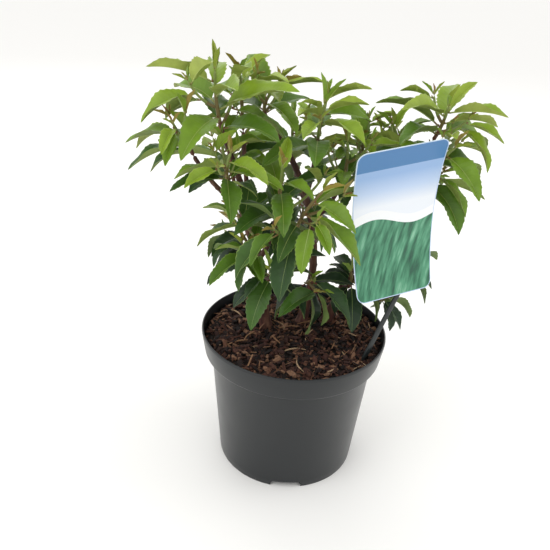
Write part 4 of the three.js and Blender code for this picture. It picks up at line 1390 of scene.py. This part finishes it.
def faces_along(tube):
    """How far along a tube the middle of each of its faces is, from 0 to 1."""
    heights = np.add.reduceat(tube.corners[tube.loops, 2], starts_of(tube.sizes)) / tube.sizes
    return (heights + 1) / 2


def rib_pattern(sides, rings):
    """A tube whose first rows are the stalk and whose others are the midrib."""
    pattern = tube_pattern(sides, rings)
    pattern.tones = (faces_along(pattern) > STALK_ROWS).astype(int)
    return pattern


blades = {stations: blade_pattern(stations) for stations in (LARGE, MIDDLE, SMALL)}
rib_tubes = {LARGE: rib_pattern(5, 16), MIDDLE: rib_pattern(4, 10), SMALL: rib_pattern(3, 7)}


def bend_blade(leaf, pattern, phase):
    x, y, z = pattern.corners.T
    q = (y + 1) / 2
    edge = np.abs(x) > MARGIN - SAME_PLACE
    row = np.rint(q * pattern.stations)
    drawn_in = edge & (row % 2 == 0)
    side = np.where(drawn_in, x - TOOTH_DEPTH * np.sign(x), x)
    q = np.clip(q + np.where(edge & ~drawn_in, TOOTH_FORWARD, 0), 0, 1)
    t = PETIOLE + (1 - PETIOLE) * q
    _, _, up, half = leaf_frame(leaf, t)
    swing = math.tau * (WAVES * q + phase) + WAVE_SHIFT * np.sign(side)
    wave = WAVE * leaf.length * side**2 * np.sin(swing)
    bulge = BULGE * half * (1 - (2 * np.abs(side) - 1) ** 2) * (z > -0.5)
    lift = wave * np.sin(math.pi * q) + bulge + BLADE_THICK * z
    return leaf_points(leaf, t, side) + up * along(lift), np.stack([side / 2 + 0.5, q], 1)


def bend_rib(leaf, pattern):
    t, around, open_end = tube_places(pattern)
    t = np.minimum(t, RIB_END)
    centre, side, up, _ = leaf_frame(leaf, t)
    full = (RIB_FOOT + RIB_PER_LENGTH * leaf.length) * (1 - RIB_TAPER * t)
    radius = full * open_end
    sunk = np.clip((t - PETIOLE) / SINKS_WITHIN, 0, 1) * full * RIB_SUNK
    return centre + side * along(np.cos(around) * radius) + up * along(np.sin(around) * radius - sunk)


# %% Deal out the greens
LOW_LEAF = 220
HIGH_LEAF = 385
AGE_BY_YOUTH = 0.5
# Low leaves get deeper greens by height: partly their real age, partly painted shade deep in the crown.
AGE_AND_SHADE_BY_HEIGHT = 0.52
AGE_BY_CHANCE = 0.24
LARGE_FROM = 44
MIDDLE_FROM = 26
OPENED = 0.8
OPENING_WIDTH = 0.3


def age_and_shade_of(leaf, roll):
    """From 0 for the deepest green to 1 for the freshest: by youth, by height and a little by chance. The
    height part is partly painted shade, which darkens the low leaves.
    """
    height = (leaf.root[2] - LOW_LEAF) / (HIGH_LEAF - LOW_LEAF)
    age_and_shade = AGE_BY_YOUTH * leaf.youth + AGE_AND_SHADE_BY_HEIGHT * height + AGE_BY_CHANCE * (roll() - 0.5)
    return min(1.0, max(0.0, age_and_shade))


def pick(finishes, age_and_shade):
    return finishes[min(len(finishes) - 1, int(age_and_shade * len(finishes)))]


def stations_for(leaf):
    return LARGE if leaf.length > LARGE_FROM else MIDDLE if leaf.length > MIDDLE_FROM else SMALL


def make_leaves(mass):
    """One mass's blades and ribs. The leaves open a little wider here than they did while they grew."""
    roll = dice(mass.seed + LEAF_DICE)
    heap = Heap()
    for leaf in mass.leaves_grown:
        # Greens by age and by height; the height part is partly painted shade.
        age_and_shade = age_and_shade_of(leaf, roll)
        chance = roll()
        blade, tube = blades[stations_for(leaf)], rib_tubes[stations_for(leaf)]
        if leaf.kind == "leaf":
            top, under = pick(tops, age_and_shade), pick(unders, age_and_shade)
            leaf.fold *= OPENED
        elif leaf.kind == "tip":
            top = under = pick(openings, chance)
            leaf.width = OPENING_WIDTH
        else:
            top = under = pick(spikes, chance)
        points, coords = bend_blade(leaf, blade, roll())
        # The third finish is the rim strip's painted highlight.
        heap.add(blade, points, [top, under, pick(rim_highlights, age_and_shade)], coords)
        heap.add(tube, bend_rib(leaf, tube), [pick(stalks, age_and_shade), pick(ribs, age_and_shade)])
    piece = heap.piece(f"leaf_blades_{mass.name}", math.radians(75))
    belongs(piece, "foliage", f"leaves_{mass.name}")
    return len(piece.data.polygons)


print("leaf faces:", sum(make_leaves(mass) for mass in masses))

# %% [markdown]
# ## Twigs and buds
#
# A shoot is brown where it leaves the wood and green towards its tip. It swells a little at even steps, and
# a pointed bud sits at its end and in the angle above the stalk of each grown leaf.

# %% Patterns and finishes for twigs and buds
TWIG_TONES = [(104, 66, 50), (118, 104, 62), (128, 142, 74)]
BUD_TONES = [(120, 78, 52), (132, 128, 68)]
BANDS = 3
TWIG_START = -0.03
TWIG_NODES = 6
TWIG_SWELL = 0.14
BUD_WIDTH = 0.75
BUD_FULLNESS = 1.15
END_BUD = 5.5
END_BUD_AT = 0.985
SIDE_BUD, SIDE_BUD_SPREAD = 2.4, 1.2
SIDE_BUD_OUT = 1.6
SIDE_BUD_RISE = np.array([0, 0, 1.2])
STALK_AIM_AT = 0.1
YOUNG_HEIGHT = 330
brown_twig, olive_twig, green_twig = row_of(soft_finish, "twig", TWIG_TONES)
bud_finishes = row_of(soft_finish, "bud", BUD_TONES, 0.45)


def banded_tube(sides, rings):
    """A tube pattern with a few finishes along it."""
    pattern = tube_pattern(sides, rings)
    pattern.tones = np.minimum(BANDS - 1, (faces_along(pattern) * BANDS).astype(int))
    return pattern


def bud_pattern():
    """An egg with a pointed tip, one unit long, standing on its foot."""
    bm = bmesh.new()
    bmesh.ops.create_icosphere(bm, subdivisions=1, radius=0.5)
    for vert in bm.verts:
        height = vert.co.z + 0.5
        vert.co.x *= BUD_WIDTH * (BUD_FULLNESS - height)
        vert.co.y *= BUD_WIDTH * (BUD_FULLNESS - height)
        vert.co.z = height
    return pattern_from(bm)


twig_tube, thin_tube, bud = banded_tube(8, 16), banded_tube(6, 9), bud_pattern()


# %% Make twigs and buds
def add_twig(heap, twig, pattern, finishes):
    share, around, open_end = tube_places(pattern)
    t = TWIG_START + (1 - TWIG_START) * share
    swell = 1 + TWIG_SWELL * np.cos(math.tau * TWIG_NODES * share) ** 4
    heap.add(pattern, bend_tube(twig, t, around, radius_on(twig, t) * swell * open_end), finishes)


def add_bud(heap, place, aim, length, finish):
    first, second = across_of(aim)
    x, y, z = (bud.corners * length).T
    heap.add(bud, place + first * along(x) + second * along(y) + aim * along(z), [finish])


def make_twigs(mass):
    roll = dice(mass.seed + TWIG_DICE)
    heap = Heap()
    middle = green_twig if mass.end[2] > YOUNG_HEIGHT else olive_twig
    add_twig(heap, mass.shoot, twig_tube, [brown_twig, olive_twig, middle])
    for twig in mass.twigs:
        add_twig(heap, twig, thin_tube, [olive_twig, middle, green_twig])
    for twig in [mass.shoot, *mass.twigs]:
        add_bud(heap, point_on(twig.curve, END_BUD_AT), slope_on(twig.curve, 1.0), END_BUD, bud_finishes[1])
    for leaf in mass.leaves_grown:
        if leaf.kind == "leaf":
            aim = unit(leaf_points(leaf, np.array([STALK_AIM_AT]), np.array([0.0]))[0] - leaf.root)
            length = SIDE_BUD + SIDE_BUD_SPREAD * roll()
            finish = bud_finishes[int(2 * roll())]
            add_bud(heap, leaf.root + aim * SIDE_BUD_OUT, unit(aim + SIDE_BUD_RISE), length, finish)
    piece = heap.piece(f"twigs_{mass.name}")
    belongs(piece, "bark", f"leaves_{mass.name}")
    return len(piece.data.polygons)


print("twig faces:", sum(make_twigs(mass) for mass in masses))

# %% [markdown]
# ## Print the card and set the stake
#
# The card's face is printed in blue, white and green, in a plain design: a blue head, a pale field that
# fades downwards, one white wave, a foot of slanting green brush strokes, and a thin pale line all round.

# %% Make the card and its stake
CARD_BLUE = paint(74, 126, 178)
CARD_FIELD = [paint(148, 180, 222), paint(190, 210, 238), paint(236, 241, 248)]
CARD_GREENS = [paint(26, 58, 52), paint(48, 112, 82), paint(84, 152, 118), paint(140, 196, 164)]
CARD_WHITE = paint(246, 248, 250)
CARD_GRAIN = dict(scale=500, detail=2.0, depth=0.00003, strength=0.3)
CARD_GRID, HEAD_GRID, BAR_GRID = (16, 40), (4, 10), (16, 12)
OBLONG = 4
HEAD_BAND = 0.87
FOOT_BAND = 0.5
WAVE_HEIGHT = 0.035
WAVE_BAND = 0.06
FADE_OVER_HEAD = 0.06
FADE_RATE = 2.4
STROKES_TURN = math.radians(-34)
EDGE_LINE = 0.8


def over(finish, share, under, colour):
    """Lays one colour over another where the share is 1."""
    mix = add_node(finish, "ShaderNodeMix", data_type="RGBA")
    wire(finish, share, mix.inputs["Factor"])
    for kind, value in (("A", under), ("B", colour)):
        socket = next(s for s in mix.inputs if s.type == "RGBA" and s.name == kind)
        if isinstance(value, (list, tuple)):
            socket.default_value = value
        else:
            wire(finish, value, socket)
    return next(s for s in mix.outputs if s.type == "RGBA")


def into_corner(finish, share, size):
    """The square of how far a point has gone past the start of the round corner, in millimetres."""
    past = reckon(finish, share, ("SUBTRACT", 0.5), ("ABSOLUTE",), ("MULTIPLY", size))
    return reckon(finish, past, ("SUBTRACT", size / 2 - CARD_CORNER), ("MAXIMUM", 0), ("POWER", 2))


def card_print():
    finish = grained("printed_card", CARD_WHITE, roughness=0.26, specular=0.5, **CARD_GRAIN)
    u, v = across_and_along(finish)
    fade = reckon(finish, HEAD_BAND + FADE_OVER_HEAD, ("SUBTRACT", v), ("MULTIPLY", FADE_RATE))
    strokes = grain_of(finish, scale=4.0, stretch=(5, 1.1, 1), where="UV", turn=STROKES_TURN)
    wave = reckon(finish, u, ("MULTIPLY", math.tau), ("SINE",), ("MULTIPLY", WAVE_HEIGHT))
    level = reckon(finish, v, ("SUBTRACT", wave))
    corner = reckon(finish, into_corner(finish, u, CARD_WIDTH), ("ADD", into_corner(finish, v, CARD_HEIGHT)))
    colour = blend_colours(finish, fade, *CARD_FIELD)
    for share, rule, limit, above in (
        (level, "LESS_THAN", FOOT_BAND + WAVE_BAND, CARD_WHITE),
        (level, "LESS_THAN", FOOT_BAND, blend_colours(finish, strokes, *CARD_GREENS)),
        (v, "GREATER_THAN", HEAD_BAND, CARD_BLUE),
        (corner, "GREATER_THAN", (CARD_CORNER - EDGE_LINE) ** 2, CARD_FIELD[1]),
    ):
        colour = over(finish, reckon(finish, share, (rule, limit)), colour, above)
    set_shader(finish, "Base Color", colour)
    return finish


def sheet_pattern(columns, rows, corner_x, corner_y):
    """A sheet of X and Y from -1 to 1 with round corners, Z 0 in front and -1 behind."""
    bm = new_grid(columns, rows)
    for vert in bm.verts:
        vert.co.y = math.sin(vert.co.y * math.pi / 2)
        into = max(0, abs(vert.co.y) - 1 + corner_y) / corner_y
        vert.co.x *= 1 - corner_x * (1 - math.sqrt(max(0, 1 - into * into)))
    bmesh.ops.solidify(bm, geom=bm.faces[:], thickness=1)
    bm.normal_update()
    middle = sum(vert.co.z for vert in bm.verts) / len(bm.verts)
    for face in bm.faces:
        face.material_index = 0 if face.normal.z > 0.5 else 1
    pattern = pattern_from(bm)
    pattern.corners[:, 2] = np.where(pattern.corners[:, 2] > middle, 0, -1)
    return pattern


def make_card():
    edge = grained("clear_card_edge", paint(214, 232, 232), roughness=0.35, specular=0.5, **CARD_GRAIN)
    corners = CARD_CORNER / (CARD_WIDTH / 2), CARD_CORNER / (CARD_HEIGHT / 2)
    pattern = sheet_pattern(*CARD_GRID, *corners)
    side, height, layer = pattern.corners.T
    heap = Heap()
    points = card_points(side, height, CARD_THICK * (0.5 + layer))
    heap.add(pattern, points, [card_print(), edge], np.stack([side / 2 + 0.5, height / 2 + 0.5], 1))
    belongs(heap.piece("plant_label_card"), "card", "label_card")


def stake_bar(top, foot):
    """The stake's bar, a tube whose rings are oblongs with round corners, and the places of its points."""
    across, lengthwise = card_frame()[0], unit(top - foot)
    out = unit(np.cross(across, lengthwise))
    bar = tube_pattern(*BAR_GRID)
    share, around, open_end = tube_places(bar)
    x, y = np.cos(around), np.sin(around)
    rounding = (np.abs(x) ** OBLONG + np.abs(y) ** OBLONG) ** (-1 / OBLONG) * open_end
    x, y = x * rounding * STAKE_WIDTH / 2, y * rounding * STAKE_THICK * BAR_THICK
    return bar, foot + along(share) * (top - foot) + along(x) * across + along(y) * out


def make_stake():
    plastic = grained(
        "dark_stake_plastic", paint(34, 40, 40), roughness=0.34, specular=0.5, scale=900, detail=2.0,
        depth=0.00005, strength=0.4,
    )
    front = -(CARD_THICK / 2 + GAP)
    plate = sheet_pattern(*HEAD_GRID, *HEAD_CORNERS)
    x, y, layer = plate.corners.T
    side = STAKE_HEAD[0] + x * HEAD_WIDTH / CARD_WIDTH
    height = STAKE_HEAD[1] + y * HEAD_HEIGHT / CARD_HEIGHT
    heap = Heap()
    heap.add(plate, card_points(side, height, front + STAKE_THICK * layer), [plastic, plastic])
    top = card_points(*STAKE_HEAD, front - STAKE_THICK * BAR_THICK)
    bar, points = stake_bar(top, np.array([*STAKE_FOOT, SOIL_LEVEL - STAKE_SUNK]))
    heap.add(bar, points, [plastic])
    belongs(heap.piece("plant_label_stake"), "stake_plastic", "label_stake")


make_card()
make_stake()
